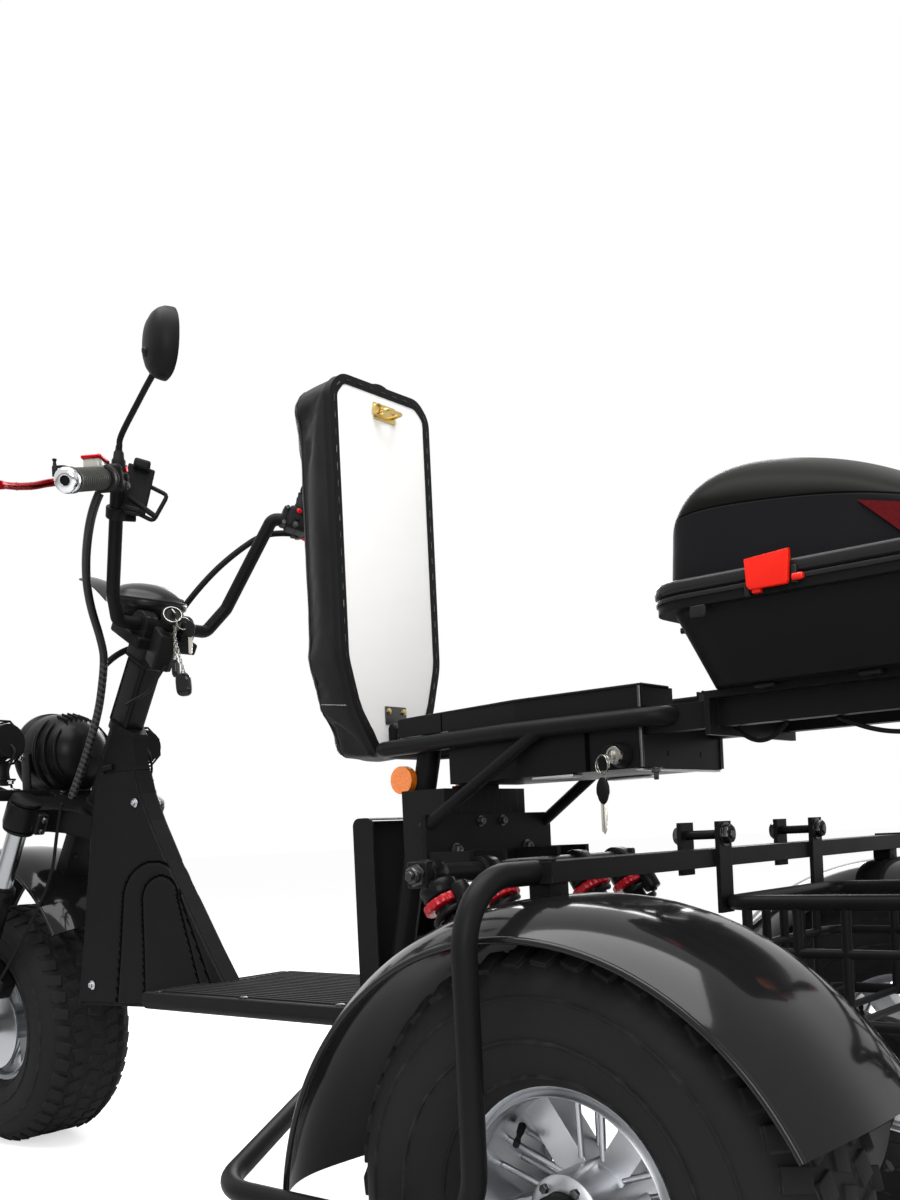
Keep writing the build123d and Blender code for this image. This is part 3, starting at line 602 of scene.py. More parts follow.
def pour(bm, part, centre, turn=None, finish=0):
    turn = turn or Matrix.Identity(3)
    part.verts.index_update()
    verts = [centre + turn @ v.co for v in part.verts]
    faces = [tuple(v.index for v in f.verts) for f in part.faces]
    part.free()
    return addFaces(bm, verts, faces, finish)


# A flat plate: outline rows are (across, up) in millimetres in the plate's plane, thickness along its normal
def addPlate(bm, outline, centre, turn, thick, soft=0.6, finish=0):
    part = bmesh.new()
    low = [part.verts.new((-thick / 2000, a / 1000, b / 1000)) for a, b in outline]
    high = [part.verts.new((thick / 2000, a / 1000, b / 1000)) for a, b in outline]
    part.faces.new(low)
    part.faces.new(high)
    count = len(outline)
    for k in range(count):
        part.faces.new((low[k], low[(k + 1) % count], high[(k + 1) % count], high[k]))
    bmesh.ops.recalc_face_normals(part, faces=part.faces[:])
    if soft:
        flat = [f for f in part.faces if len(f.verts) == count and count > 4] or part.faces[:2]
        rim = list({e for f in flat for e in f.edges})
        bmesh.ops.bevel(part, geom=rim, offset=soft / 1000, segments=2, profile=0.6, affect="EDGES")
    return pour(bm, part, centre, turn, finish)


def finishPiece(name, bm, body, looks, replaced=(), sharp=38):
    bmesh.ops.remove_doubles(bm, verts=bm.verts[:], dist=0.000001)
    bmesh.ops.recalc_face_normals(bm, faces=bm.faces[:])
    mesh = bpy.data.meshes.new(name)
    bm.to_mesh(mesh)
    bm.free()
    return meshPiece(name, mesh, body, looks, replaced, sharp)


def meshPiece(name, mesh, body, looks, replaced=(), sharp=38):
    finishes = [face.material_index for face in mesh.polygons]
    mesh.materials.clear()
    for look in looks:
        mesh.materials.append(mats[look])
    for face, finish in zip(mesh.polygons, finishes):
        face.material_index = min(finish, len(looks) - 1)
        face.use_smooth = True
    if sharp:
        mesh.set_sharp_from_angle(angle=math.radians(sharp))
    piece = addObject(name, mesh)
    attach(piece, body)
    if replaced:
        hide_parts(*replaced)
    return piece


# Geometry Nodes trees for what repeats


def newTree(name, inputs):
    tree = bpy.data.node_groups.new(name, "GeometryNodeTree")
    tree.interface.new_socket(name="Geometry", in_out="INPUT", socket_type="NodeSocketGeometry")
    for label, kind in inputs:
        tree.interface.new_socket(name=label, in_out="INPUT", socket_type=kind)
    tree.interface.new_socket(name="Geometry", in_out="OUTPUT", socket_type="NodeSocketGeometry")
    return tree, tree.nodes.new("NodeGroupInput"), tree.nodes.new("NodeGroupOutput")


# Copies the piece round the y axis, then turns and moves the ring to its place
def buildRingTree():
    tree, source, sink = newTree("ringOfParts", [("Count", "NodeSocketInt"), ("Sweep", "NodeSocketFloat"),
        ("Start", "NodeSocketFloat"), ("Turn", "NodeSocketVector"), ("Place", "NodeSocketVector"),
        ("Finish", "NodeSocketMaterial")])
    given = source.outputs
    line = put(tree, "GeometryNodeMeshLine", {"Offset": (0, 0, 0), "Count": given["Count"]})
    index = tree.nodes.new("GeometryNodeInputIndex")
    step = calc(tree, "DIVIDE", given["Sweep"], given["Count"])
    angle = calc(tree, "ADD", calc(tree, "MULTIPLY", index.outputs[0], step), given["Start"])
    turn = put(tree, "ShaderNodeCombineXYZ", {1: angle})
    copies = put(tree, "GeometryNodeInstanceOnPoints",
        {"Points": line.outputs["Mesh"], "Instance": given["Geometry"], "Rotation": turn.outputs[0]})
    real = put(tree, "GeometryNodeRealizeInstances", {0: copies.outputs[0]})
    move = put(tree, "GeometryNodeTransform", {"Geometry": real.outputs[0], "Rotation": given["Turn"],
        "Translation": given["Place"]})
    coat = put(tree, "GeometryNodeSetMaterial", {"Geometry": move.outputs[0], "Material": given["Finish"]})
    wire(tree, sink, {0: coat.outputs[0]})
    return tree


# Sets a small part at even steps along the piece's curve, with slight size changes from a fixed seed
def buildPathTree():
    tree, source, sink = newTree("partsAlongPath",
        [("Part", "NodeSocketObject"), ("Spacing", "NodeSocketFloat"), ("Uneven", "NodeSocketFloat"),
            ("Seed", "NodeSocketInt"), ("Finish", "NodeSocketMaterial")])
    given = source.outputs
    points = put(tree, "GeometryNodeCurveToPoints",
        {"Curve": given["Geometry"], "Length": given["Spacing"]}, mode="LENGTH")
    info = put(tree, "GeometryNodeObjectInfo", {"Object": given["Part"]})
    least, most = (calc(tree, way, 1.0, given["Uneven"]) for way in ("SUBTRACT", "ADD"))
    size = put(tree, "FunctionNodeRandomValue", {2: least, 3: most, "Seed": given["Seed"]},
        data_type="FLOAT")
    copies = put(tree, "GeometryNodeInstanceOnPoints",
        {"Points": points.outputs["Points"], "Instance": info.outputs["Geometry"],
            "Rotation": points.outputs["Rotation"], "Scale": size.outputs[1]})
    real = put(tree, "GeometryNodeRealizeInstances", {0: copies.outputs[0]})
    coat = put(tree, "GeometryNodeSetMaterial", {"Geometry": real.outputs[0], "Material": given["Finish"]})
    wire(tree, sink, {0: coat.outputs[0]})
    return tree


ringTree = buildRingTree()
pathTree = buildPathTree()


# Runs a tree on the data and gives back its result as a plain mesh
def runTree(name, data, tree, values):
    host = addObject(name + "Host", data)
    mod = host.modifiers.new("repeat", "NODES")
    mod.node_group = tree
    for socket in tree.interface.items_tree:
        if socket.item_type == "SOCKET" and socket.in_out == "INPUT" and socket.name in values:
            mod[socket.identifier] = values[socket.name]
    mesh = evaluatedMesh(host)
    bpy.data.objects.remove(host)
    return mesh


def meshOf(bm):
    mesh = bpy.data.meshes.new("part")
    bm.to_mesh(mesh)
    bm.free()
    return mesh


def poleCurve(paths, closed):
    curve = bpy.data.curves.new("path", "CURVE")
    curve.dimensions = "3D"
    for path in paths:
        spline = curve.splines.new("POLY")
        spline.points.add(len(path) - 1)
        for point, place in zip(spline.points, path):
            point.co = (*place, 1)
        spline.use_cyclic_u = closed
    return curve


def alongPaths(name, paths, part, spacing, look, body, closed=False, uneven=0.06, seed=3):
    holder = addObject(name + "Part", meshOf(part))
    mesh = runTree(name, poleCurve(paths, closed), pathTree,
        {"Part": holder, "Spacing": spacing, "Uneven": uneven, "Seed": seed, "Finish": mats[look]})
    bpy.data.objects.remove(holder)
    return meshPiece(name, mesh, body, [look])


def ringOf(part, count, place, turn=(0, 0, 0), sweep=360.0, start=0.0, look="satinBlack"):
    return runTree("ring", meshOf(part), ringTree,
        {"Count": count, "Sweep": math.radians(sweep), "Start": math.radians(start), "Turn": turn,
            "Place": place, "Finish": mats[look]})


print("makers are ready")

# Tyres with their tread blocks

tyre = {
    "blocks": 44, "rows": (-66, -34, 0, 34, 66),
}
wheels = {
    "front_tyre": ("front_wheel", (1590, 0, wheelRise)),
    "rear_tyre_left": ("rear_wheel_left", (0, 405, wheelRise)),
    "rear_tyre_right": ("rear_wheel_right", (0, -405, wheelRise)),
}
tyreSide = ((104, 46), (106, 60), (112, 70), (126, 84), (146, 93), (166, 95.5), (186, 93), (200, 87),
    (209, 79), (216, 68), (220.5, 50), (222.6, 28), (223.4, 0))


def makeTyre(name):
    body, centre = wheels[name]
    middle = at(*centre)
    bm = bmesh.new()
    outer = list(tyreSide) + [(r, -y) for r, y in reversed(tyreSide[:-1])]
    inner = [(106, -32), (124, -62), (160, -84), (196, -72), (208, 0), (196, 72), (160, 84), (124, 62),
        (106, 32)]
    rings = []
    steps = 96
    for n in range(steps):
        angle = 2 * math.pi * n / steps
        rings.append([roundAxle(middle, angle, r, y) for r, y in outer + inner])
    addRings(bm, rings, closed=True)
    for radius, y in ((150, 94.5), (186, 93.2), (118, 77)):
        for sign in (1, -1):
            path = [roundAxle(middle, 2 * math.pi * n / 72, radius, sign * y) for n in range(72)]
            addTube(bm, path, 1.5, sides=6, closed=True)
    carcass = meshOf(bm)
    blocks = bmesh.new()
    for k, y in enumerate(tyre["rows"]):
        edge = abs(y) > 50
        ground = 221.2 - (y / 96) ** 4 * 21
        lean = math.radians(-32 if y > 0 else 32) if edge else 0
        turn = Matrix.Rotation(lean, 3, "X") @ Matrix.Rotation(math.radians(14 if k % 2 else -14), 3, "Z")
        shift = Matrix.Rotation(math.radians(360 / tyre["blocks"] * (0.5 if k % 2 else 0)), 3, "Y")
        place = shift @ (Vector((0, y, ground)) / 1000)
        addBlock(blocks, place, (22 if not edge else 20, 24 if not edge else 26, 9), shift @ turn, soft=1.6)
    tread = ringOf(blocks, tyre["blocks"], tuple(middle), look="tyreRubber")
    whole = bmesh.new()
    whole.from_mesh(carcass)
    whole.from_mesh(tread)
    finishPiece(name + "_tread", whole, body, ["tyreRubber"], [name])


for name in wheels:
    makeTyre(name)
print("tyres are on")

# Mudguards

guards = {
    "rear": {"centre": (12, 405, 184), "crown": 309, "lip": 280, "half": 111, "from": 152, "sweep": 146},
    "front": {"centre": (1580, 0, 268.5), "crown": 300, "lip": 274, "half": 96, "from": 150, "sweep": 115},
    "wall": 3.0,
}


def guardShell(bm, spec, side=1):
    cx, cy, cz = spec["centre"]
    middle = at(cx, cy * side, cz)
    drop = spec["crown"] - spec["lip"]
    rows = []
    for k in range(25):
        share = -1 + 2 * k / 24
        fall = abs(share) ** 3.2
        rows.append((spec["crown"] - drop * fall, share * spec["half"]))
    wall = guards["wall"]
    inner = [(r - wall, y * (spec["half"] - wall) / spec["half"]) for r, y in reversed(rows)]
    section = rows + inner
    rings = []
    steps = 72
    for n in range(steps + 1):
        angle = math.radians(spec["from"] - spec["sweep"] * n / steps)
        x, z = math.cos(angle), math.sin(angle)
        rings.append([middle + Vector((x * r, y, z * r)) / 1000 for r, y in section])
    addRings(bm, rings)
    for edge in (rows[0], rows[-1]):
        path = []
        for n in range(steps + 1):
            angle = math.radians(spec["from"] - spec["sweep"] * n / steps)
            path.append(roundAxle(middle, angle, edge[0] - 1.5, edge[1] * 0.985))
        addTube(bm, path, 3.2, sides=10)


def makeGuards():
    bm = bmesh.new()
    for side in (1, -1):
        guardShell(bm, guards["rear"], side)
        addBlock(bm, at(38, side * 412, 497), (24, 28, 15), soft=1.5, finish=1)
        for x in (30, 46):
            addLathe(bm, cap((6, 0), (6, 3), (4.5, 5)), at(x, side * 412, 494), (0, 0, -1), 16, 1)
    finishPiece("rear_mudguard_pair", bm, "chassis", ["glossBlack", "satinBlack"],
        ["rear_mudguards"])
    bm = bmesh.new()
    guardShell(bm, guards["front"])
    bracket = turnTo((0.848, 0, 0.53), (-0.53, 0, 0.848))
    addBlock(bm, at(1395, 0, 551), (30, 60, 96), bracket, soft=3, finish=1)
    for y in (-18, 18):
        addLathe(bm, cap((6, 0), (6, 3), (4, 4.5)), at(1381, y, 545), (-0.848, 0, -0.53), 6, 1)
    finishPiece("front_mudguard_shell", bm, "steering", ["glossBlack", "satinBlack"],
        ["front_mudguard"])


makeGuards()
print("mudguards are on")

# Seat: padded cushion, board, folded cover edge, staples, hinge and latch

seat = {
    "middle": 930, "frontX": 671, "swell": 11.0, "grid": 0.0055, "pressure": 4.0,
    "border": 15, "stitch": 4.4, "stapleGap": 24,
    "outline": ((1201, 81), (1177, 105), (803, 105), (730, 84), (690, 58), (665, 42)),
}


# Rounded outline rows (y, z) going round the seat, pulled in by inset
def seatOutline(inset=0.0, corner=14, steps=5):
    half = [(y, z) for z, y in seat["outline"]]
    full = half + [(-y, z) for y, z in reversed(half)]
    count = len(full)
    rows = []
    for k in range(count):
        p0, p1, p2 = (Vector(full[(k + d) % count]) for d in (-1, 0, 1))
        a, b = (p0 - p1), (p2 - p1)
        reach = min(corner, a.length * 0.45, b.length * 0.45)
        a, b = p1 + a.normalized() * reach, p1 + b.normalized() * reach
        for n in range(steps + 1):
            t = n / steps
            rows.append(a * (1 - t) ** 2 + p1 * 2 * t * (1 - t) + b * t * t)
    if inset:
        count = len(rows)
        moved = []
        for k in range(count):
            along = (rows[(k + 1) % count] - rows[k - 1]).normalized()
            moved.append(rows[k] + Vector((-along.y, along.x)) * -inset)
        centre = Vector((0, seat["middle"]))
        if (moved[0] - centre).length > (rows[0] - centre).length:
            moved = [rows[k] * 2 - moved[k] for k in range(count)]
        rows = moved
    return rows


def makeCushion():
    bm = bmesh.new()
    rings = []
    for x, inset in ((594.6, 2.5), (600, 1.5), (640, 1.5), (660, 2.5), (seat["frontX"] - 3, 6),
            (seat["frontX"], 12)):
        rings.append([at(x, y, z) for y, z in seatOutline(inset)])
    addRings(bm, rings)
    bmesh.ops.triangulate(bm, faces=[f for f in bm.faces if len(f.verts) > 4])
    block = addObject("cushionBlock", meshOf(bm))
    scene = bpy.context.scene
    remesh = block.modifiers.new("even", "REMESH")
    remesh.mode = "VOXEL"
    remesh.voxel_size = seat["grid"]
    mesh = evaluatedMesh(block)
    bpy.data.objects.remove(block)
    pad = addObject("cushionPad", mesh)
    start = [v.co.copy() for v in mesh.vertices]
    held = pad.vertex_groups.new(name="held")
    held.add([v.index for v in mesh.vertices if v.co.x < at(598.5, 0, 0).x], 1.0, "REPLACE")
    cloth = pad.modifiers.new("cloth", "CLOTH")
    cloth.settings.vertex_group_mass = "held"
    cloth.settings.use_pressure = True
    cloth.settings.uniform_pressure_force = seat["pressure"]
    cloth.settings.effector_weights.gravity = 0
    cloth.settings.tension_stiffness = 22
    cloth.settings.compression_stiffness = 22
    for step in range(1, 21):
        scene.frame_set(step)
    blown = evaluatedMesh(pad)
    pad.modifiers.clear()
    scene.frame_set(1)
    most = seat["swell"] / 1000
    for v, b, home in zip(mesh.vertices, blown.vertices, start):
        push = b.co - home
        v.co = home + push * min(1.0, most / max(push.length, 1e-9))
    bpy.data.meshes.remove(blown)
    # Seam grooves: one round the front edge, one across the strip near the foot, two across the top face
    for v in mesh.vertices:
        x = (v.co.x - at(0, 0, 0).x) * 1000
        y, z = v.co.y * 1000, v.co.z * 1000
        side = abs(y) > 88 or z > 1185 or z < 720
        if side:
            groove = math.exp(-((x - 661) / 2.6) ** 2) * 1.8
            across = math.exp(-((z - 742 - (x - 594) * 0.12) / 3) ** 2) * 1.5 if abs(y) > 60 else 0
            if abs(y) > 88:
                inward = Vector((0, -math.copysign(1, y), 0))
            else:
                inward = Vector((0, 0, -1 if z > seat["middle"] else 1))
            v.co += inward * (groove + across) / 1000
        elif x > 668:
            for line in (860, 1010):
                v.co.x -= math.exp(-((z - line) / 3.5) ** 2) * 0.0025
        wrinkle = noise.noise(Vector((x, y, z)) / 46) * 0.7 + noise.noise(Vector((x, y * 2, z)) / 17) * 0.25
        v.co += v.normal * wrinkle / 1000
    smooth = pad.modifiers.new("soft", "SUBSURF")
    smooth.levels = smooth.render_levels = 1
    done = evaluatedMesh(pad)
    bpy.data.objects.remove(pad)
    piece = meshPiece("seat_pad", done, "seat", ["blackLeatherette"], ["seat_cushion"], sharp=0)
    return done


def stitchPart():
    part = bmesh.new()
    addLathe(part, [(0, -1.7), (0.42, -1.3), (0.55, 0), (0.42, 1.3), (0, 1.7)], Vector((0, 0, 0)),
        (0, 0, 1), 6)
    return part


# Contrast stitching laid on the cover: points are found by casting on to it from outside
def seatStitches(cover):
    points = [v.co.copy() for v in cover.vertices]
    tree = BVHTree.FromPolygons(points, [tuple(p.vertices) for p in cover.polygons])
    middle = Vector((0, seat["middle"]))
    rows = []
    rounded = seatOutline(0, steps=8)
    dense = []
    for k in range(len(rounded)):
        a, b = rounded[k], rounded[(k + 1) % len(rounded)]
        parts = max(1, int((b - a).length / 8))
        dense.extend(a.lerp(b, n / parts) for n in range(parts))
    for x in (666.5, 656.5):
        path = []
        for k in range(len(dense)):
            along = (dense[(k + 1) % len(dense)] - dense[k - 1])
            if along.length < 1e-6:
                continue
            along.normalize()
            out = Vector((-along.y, along.x))
            if out.dot(dense[k] - middle) < 0:
                out = -out
            origin = at(x, dense[k].x + out.x * 40, dense[k].y + out.y * 40)
            hit = tree.ray_cast(origin, Vector((0, -out.x, -out.y)))
            if hit[0] is not None:
                path.append(hit[0] + hit[1] * 0.0002)
        rows.append(path)
    across = []
    for z0, sign in ((742, 1), (742, -1)):
        path = []
        for n in range(12):
            x = 598 + n * 5.6
            origin = at(x, sign * 160, z0 - 4 + (x - 594) * 0.12)
            hit = tree.ray_cast(origin, Vector((0, -sign, 0)))
            if hit[0] is not None:
                path.append(hit[0] + hit[1] * 0.0002)
        across.append(path)
    alongPaths("seat_stitching", rows[:1], stitchPart(), seat["stitch"] / 1000, "whiteThread", "seat",
        closed=True)
    alongPaths("seam_stitching", across, stitchPart(), seat["stitch"] / 1000, "whiteThread", "seat")
    welt = bmesh.new()
    addTube(welt, rows[1][::3], 1.3, sides=8, closed=True)
    finishPiece("seat_welt", welt, "seat", ["blackLeatherette"])


def makeBoard():
    bm = bmesh.new()
    rings = [[at(x, y, z) for y, z in seatOutline(inset)] for x,
        inset in ((585, 3.0), (585.3, 2.2), (594.4, 2.2))]
    addRings(bm, rings)
    finishPiece("seat_board", bm, "seat", ["boardWhite"], ["seat_base"])
    # The cover is folded over the board's edge and stapled
    outer = seatOutline(-0.8)
    inner = []
    for y, z in seatOutline(seat["border"]):
        wave = noise.noise(Vector((y / 21, z / 21, 3))) * 2.2
        inner.append(Vector((y, z)) + (Vector((0, seat["middle"])) - Vector((y, z))).normalized() * wave)
    bm = bmesh.new()
    wallEnd = seatOutline(-0.2)
    rings = [[at(584.8, *p) for p in inner], [at(583.9, *p) for p in inner],
        [at(583.6, *(Vector(o) * 0.75 + Vector(i) * 0.25)) for o, i in zip(outer, inner)],
        [at(584.2, *p) for p in seatOutline(0.4)], [at(586.5, *p) for p in outer],
        [at(592, *p) for p in outer], [at(597, *p) for p in wallEnd],
        [at(597, *p) for p in seatOutline(2.4)], [at(585.2, *p) for p in seatOutline(2.4)]]
    addRings(bm, rings, closed=True)
    finishPiece("folded_cover_edge", bm, "seat", ["seatTrim"], sharp=50)
    staple = bmesh.new()
    addTube(staple, [Vector((0, 0, z)) for z in (-0.0045, -0.002, 0.002, 0.0045)], 0.5, sides=6)
    line = [at(583.3, *p) for p in seatOutline(8.5)]
    alongPaths("cover_staples", [line], staple, seat["stapleGap"] / 1000, "steelBolt", "seat",
        closed=True, uneven=0.12, seed=8)


def makeSeatMetal():
    bm = bmesh.new()
    # Hinge: a leaf on the board, knuckles, and the link to the pin
    addBlock(bm, at(583.6, 0, 726), (1.8, 44, 26), soft=0.6, finish=1)
    addBlock(bm, at(580, 0, 711), (10, 27, 7), soft=1.2, finish=1)
    addLathe(bm, [(0, -13.6), (5.9, -13.6), (5.9, 13.6), (0, 13.6)], at(574, 0, 705), (0, 1, 0), 24, 1)
    for y in (-16, 16):
        addLathe(bm, cap((4.6, 0), (4.6, 2.2), (2.6, 3.2)), at(582.8, y, 732), (-1, 0, 0), 6)
    # Latch striker: plate, bowed rod and its collar
    addBlock(bm, at(583.9, -5, 1163), (1.8, 46, 24), soft=0.6)
    loop = [at(583, -22, 1160), at(574, -22, 1160), at(565, -20, 1160), at(564, -5, 1160),
        at(565, 10, 1160), at(574, 12, 1160), at(583, 12, 1160)]
    addTube(bm, softPath(loop, 5), 2.6, sides=10)
    addLathe(bm, [(7.5, 0), (9.5, 0), (9.5, 6), (7.5, 6), (6, 3)], at(583, 12, 1163), (-1, 0, 0), 24)
    for y in (-26, 16):
        addLathe(bm, cap((3.6, 0), (3.6, 2.0), (2.2, 2.8)), at(583, y, 1169), (-1, 0, 0), 6)
    finishPiece("seat_hinge_and_striker", bm, "seat", ["yellowZinc", "steelBolt"])


cover = makeCushion()
seatStitches(cover)
makeBoard()
makeSeatMetal()
print("seat is upholstered")

# Front shield: pressed panels on both sides, a rolled front edge, the seam under the neck and its bolts

shield = {
    "rows": ((283, 938, 1296, 80), (379, 1008, 1290, 69), (453, 1058, 1286, 63), (530, 1110, 1280, 56),
        (601, 1152, 1276, 50), (650, 1176, 1272, 45), (700, 1190, 1262, 37), (745, 1194, 1240, 32)),
    "rearHalf": 15, "skin": 3.3, "groove": 2.9, "grooveWidth": 3.0,
}


def shieldAt(z):
    rows = shield["rows"]
    for low, high in zip(rows, rows[1:]):
        if low[0] <= z <= high[0]:
            t = (z - low[0]) / (high[0] - low[0])
            return [a + (b - a) * t for a, b in zip(low, high)]
    return list(rows[0] if z < rows[0][0] else rows[-1])


# Raised rib along an upside-down U: two legs that spread downwards and a round head
def archHeight(x, z, arch):
    headX, headZ, radius, spread = arch
    if z > headZ:
        gap = abs(math.hypot(x - headX, z - headZ) - radius)
    else:
        drop = headZ - z
        left, right = headX + radius - drop * spread[0], headX - radius - drop * spread[1]
        gap = min(abs(x - left), abs(x - right))
    return math.exp(-(gap / shield["grooveWidth"]) ** 2)


def makeShieldPanels():
    arches = ((1138, 468, 62, (-0.02, 0.52)), (1120, 467, 38, (0.1, 0.4)))
    for side, name in ((1, "left"), (-1, "right")):
        bm = bmesh.new()
        columns, lines = 110, 170
        grid = []
        for n in range(lines + 1):
            z = 288 + (690 - 288) * n / lines
            rear, front, half = shieldAt(z)[1:]
            line = []
            for m in range(columns + 1):
                share = m / columns
                x = rear + 2 + (front - 4 - rear - 2) * share
                y = shield["rearHalf"] + (half - shield["rearHalf"]) * (x - rear) / (front - rear)
                lift = shield["skin"] - max(archHeight(x, z, arch) for arch in arches) * shield["groove"]
                edge = min(share, 1 - share) * columns
                lift = lift if edge > 0.5 else -0.8
                lift = lift if 0 < n < lines else -0.8
                line.append(at(x, side * (y + lift), z))
            grid.append(line)
        verts = [v for line in grid for v in line]
        wide = columns + 1
        faces = [(n * wide + m, n * wide + m + 1, (n + 1) * wide + m + 1, (n + 1) * wide + m)
            for n in range(lines) for m in range(columns)]
        if side < 0:
            faces = [tuple(reversed(f)) for f in faces]
        made = [bm.verts.new(v) for v in verts]
        for f in faces:
            face = bm.faces.new([made[i] for i in f])
            face.smooth = True
            face.normal_update()
            # Faces along the grooves take the near-black third finish: painted shade in the grooves
            place = face.calc_center_median() * 1000
            deep = max(archHeight(place.x - rearAxleX * 1000, place.z, arch) for arch in arches)
            face.material_index = 2 if deep > 0.5 else 0
        want = Vector((0, side, 0))
        if sum(f.normal.dot(want) for f in bm.faces) < 0:
            bmesh.ops.reverse_faces(bm, faces=bm.faces[:])
        bmesh.ops.solidify(bm, geom=bm.faces[:], thickness=0.0008)
        # Rolled front edge and its return
        edge = [at(shieldAt(z)[2] - 5, side * (shieldAt(z)[3] - 2.5), z) for z in (286, 340, 400, 460, 520,
            580, 640, 672, 688)]
        edge += [at(1250, side * 37, 697), at(1232, side * 31, 699)]
        addTube(bm, softPath(edge, 4), 5.2, sides=14)
        for x, z in ((1184, 633), (1010, 316), (1262, 318)):
            rear, front, half = shieldAt(z)[1:]
            y = shield["rearHalf"] + (half - shield["rearHalf"]) * (x - rear) / (front - rear)
            addLathe(bm, cap((8, 0), (8, 1.2), (5.5, 2.2)), at(x, side * (y + 3.0), z), (0, side, 0), 24, 1)
            addLathe(bm, cap((4.6, 0), (4.6, 4.0), (3.6, 4.8), (1.8, 4.8), (1.6, 3.2)),
                at(x, side * (y + 4.8), z), (0, side, 0), 24, 1)
        finishPiece("shield_panel_" + name, bm, "chassis", ["satinBlack", "castAlloy", "paintedShadeBlack"],
            sharp=50)
    bm = bmesh.new()
    rear, front, half = shieldAt(693)[1:]
    seam = [at(rear - 1, 15, 693), at(front, half + 0.5, 693), at(front, -half - 0.5, 693),
        at(rear - 1, -15, 693)]
    addTube(bm, seam, 1.2, sides=8, closed=True)
    finishPiece("shield_seam", bm, "chassis", ["softRubber"])


makeShieldPanels()
print("shield panels are pressed")

# Handlebar controls: grips, housings, levers, reservoirs, clip, mirrors

bars = {
    "gripIn": (958, 208, 1112), "gripOut": (874, 333, 1065), "pod": (972, 190, 1119),
    "reservoir": (946, 236, 1121), "lever": ((1026, 234, 1118), (1022, 268, 1107), (1010, 300, 1094),
        (990, 340, 1081), (966, 380, 1070)),
    "holder": (995, 128, 1118), "mirror": (798, 212, 1266), "mirrorTurn": 72,
}


def onSide(point, side):
    return at(point[0], point[1] * side, point[2])


def gripLine(side):
    inner, outer = onSide(bars["gripIn"], side), onSide(bars["gripOut"], side)
    return inner, (outer - inner).normalized(), (outer - inner).length * 1000


def makeGrips():
    bm = bmesh.new()
    for side in (1, -1):
        inner, along, length = gripLine(side)
        profile = [(11.4, -2), (17.5, -2), (19, -0.6), (19, 3), (17, 5)]
        rows = 17
        for n in range(rows):
            start = 8 + (length - 30) * n / rows
            step = (length - 30) / rows
            profile += [(15.9, start), (16.9, start + step * 0.3), (16.9, start + step * 0.75),
                (15.9, start + step * 0.95)]
        profile += [(17.2, length - 20), (18.2, length - 17), (18.2, length - 9), (17.2, length - 7),
            (11.4, length - 7)]
        addLathe(bm, profile, inner, along, 40)
        cap = [(0, length - 7), (14.2, length - 7), (17.6, length - 5.5), (18.0, length - 2),
            (18.0, length + 2), (16.6, length + 5.2), (13.5, length + 7.2), (9.4, length + 8.2),
            (7.2, length + 8.0), (6.6, length + 6.6), (6.6, length + 2.5), (0, length + 2.5)]
        addLathe(bm, cap, inner, along, 40, 1)
        addLathe(bm, [(0, length + 2.6), (6.4, length + 2.6), (6.4, length + 3.2), (0, length + 3.2)],
            inner, along, 24, 2)
    finishPiece("grip_pair", bm, "steering", ["gripRubber", "chrome", "darkPlastic"], ["grips"])


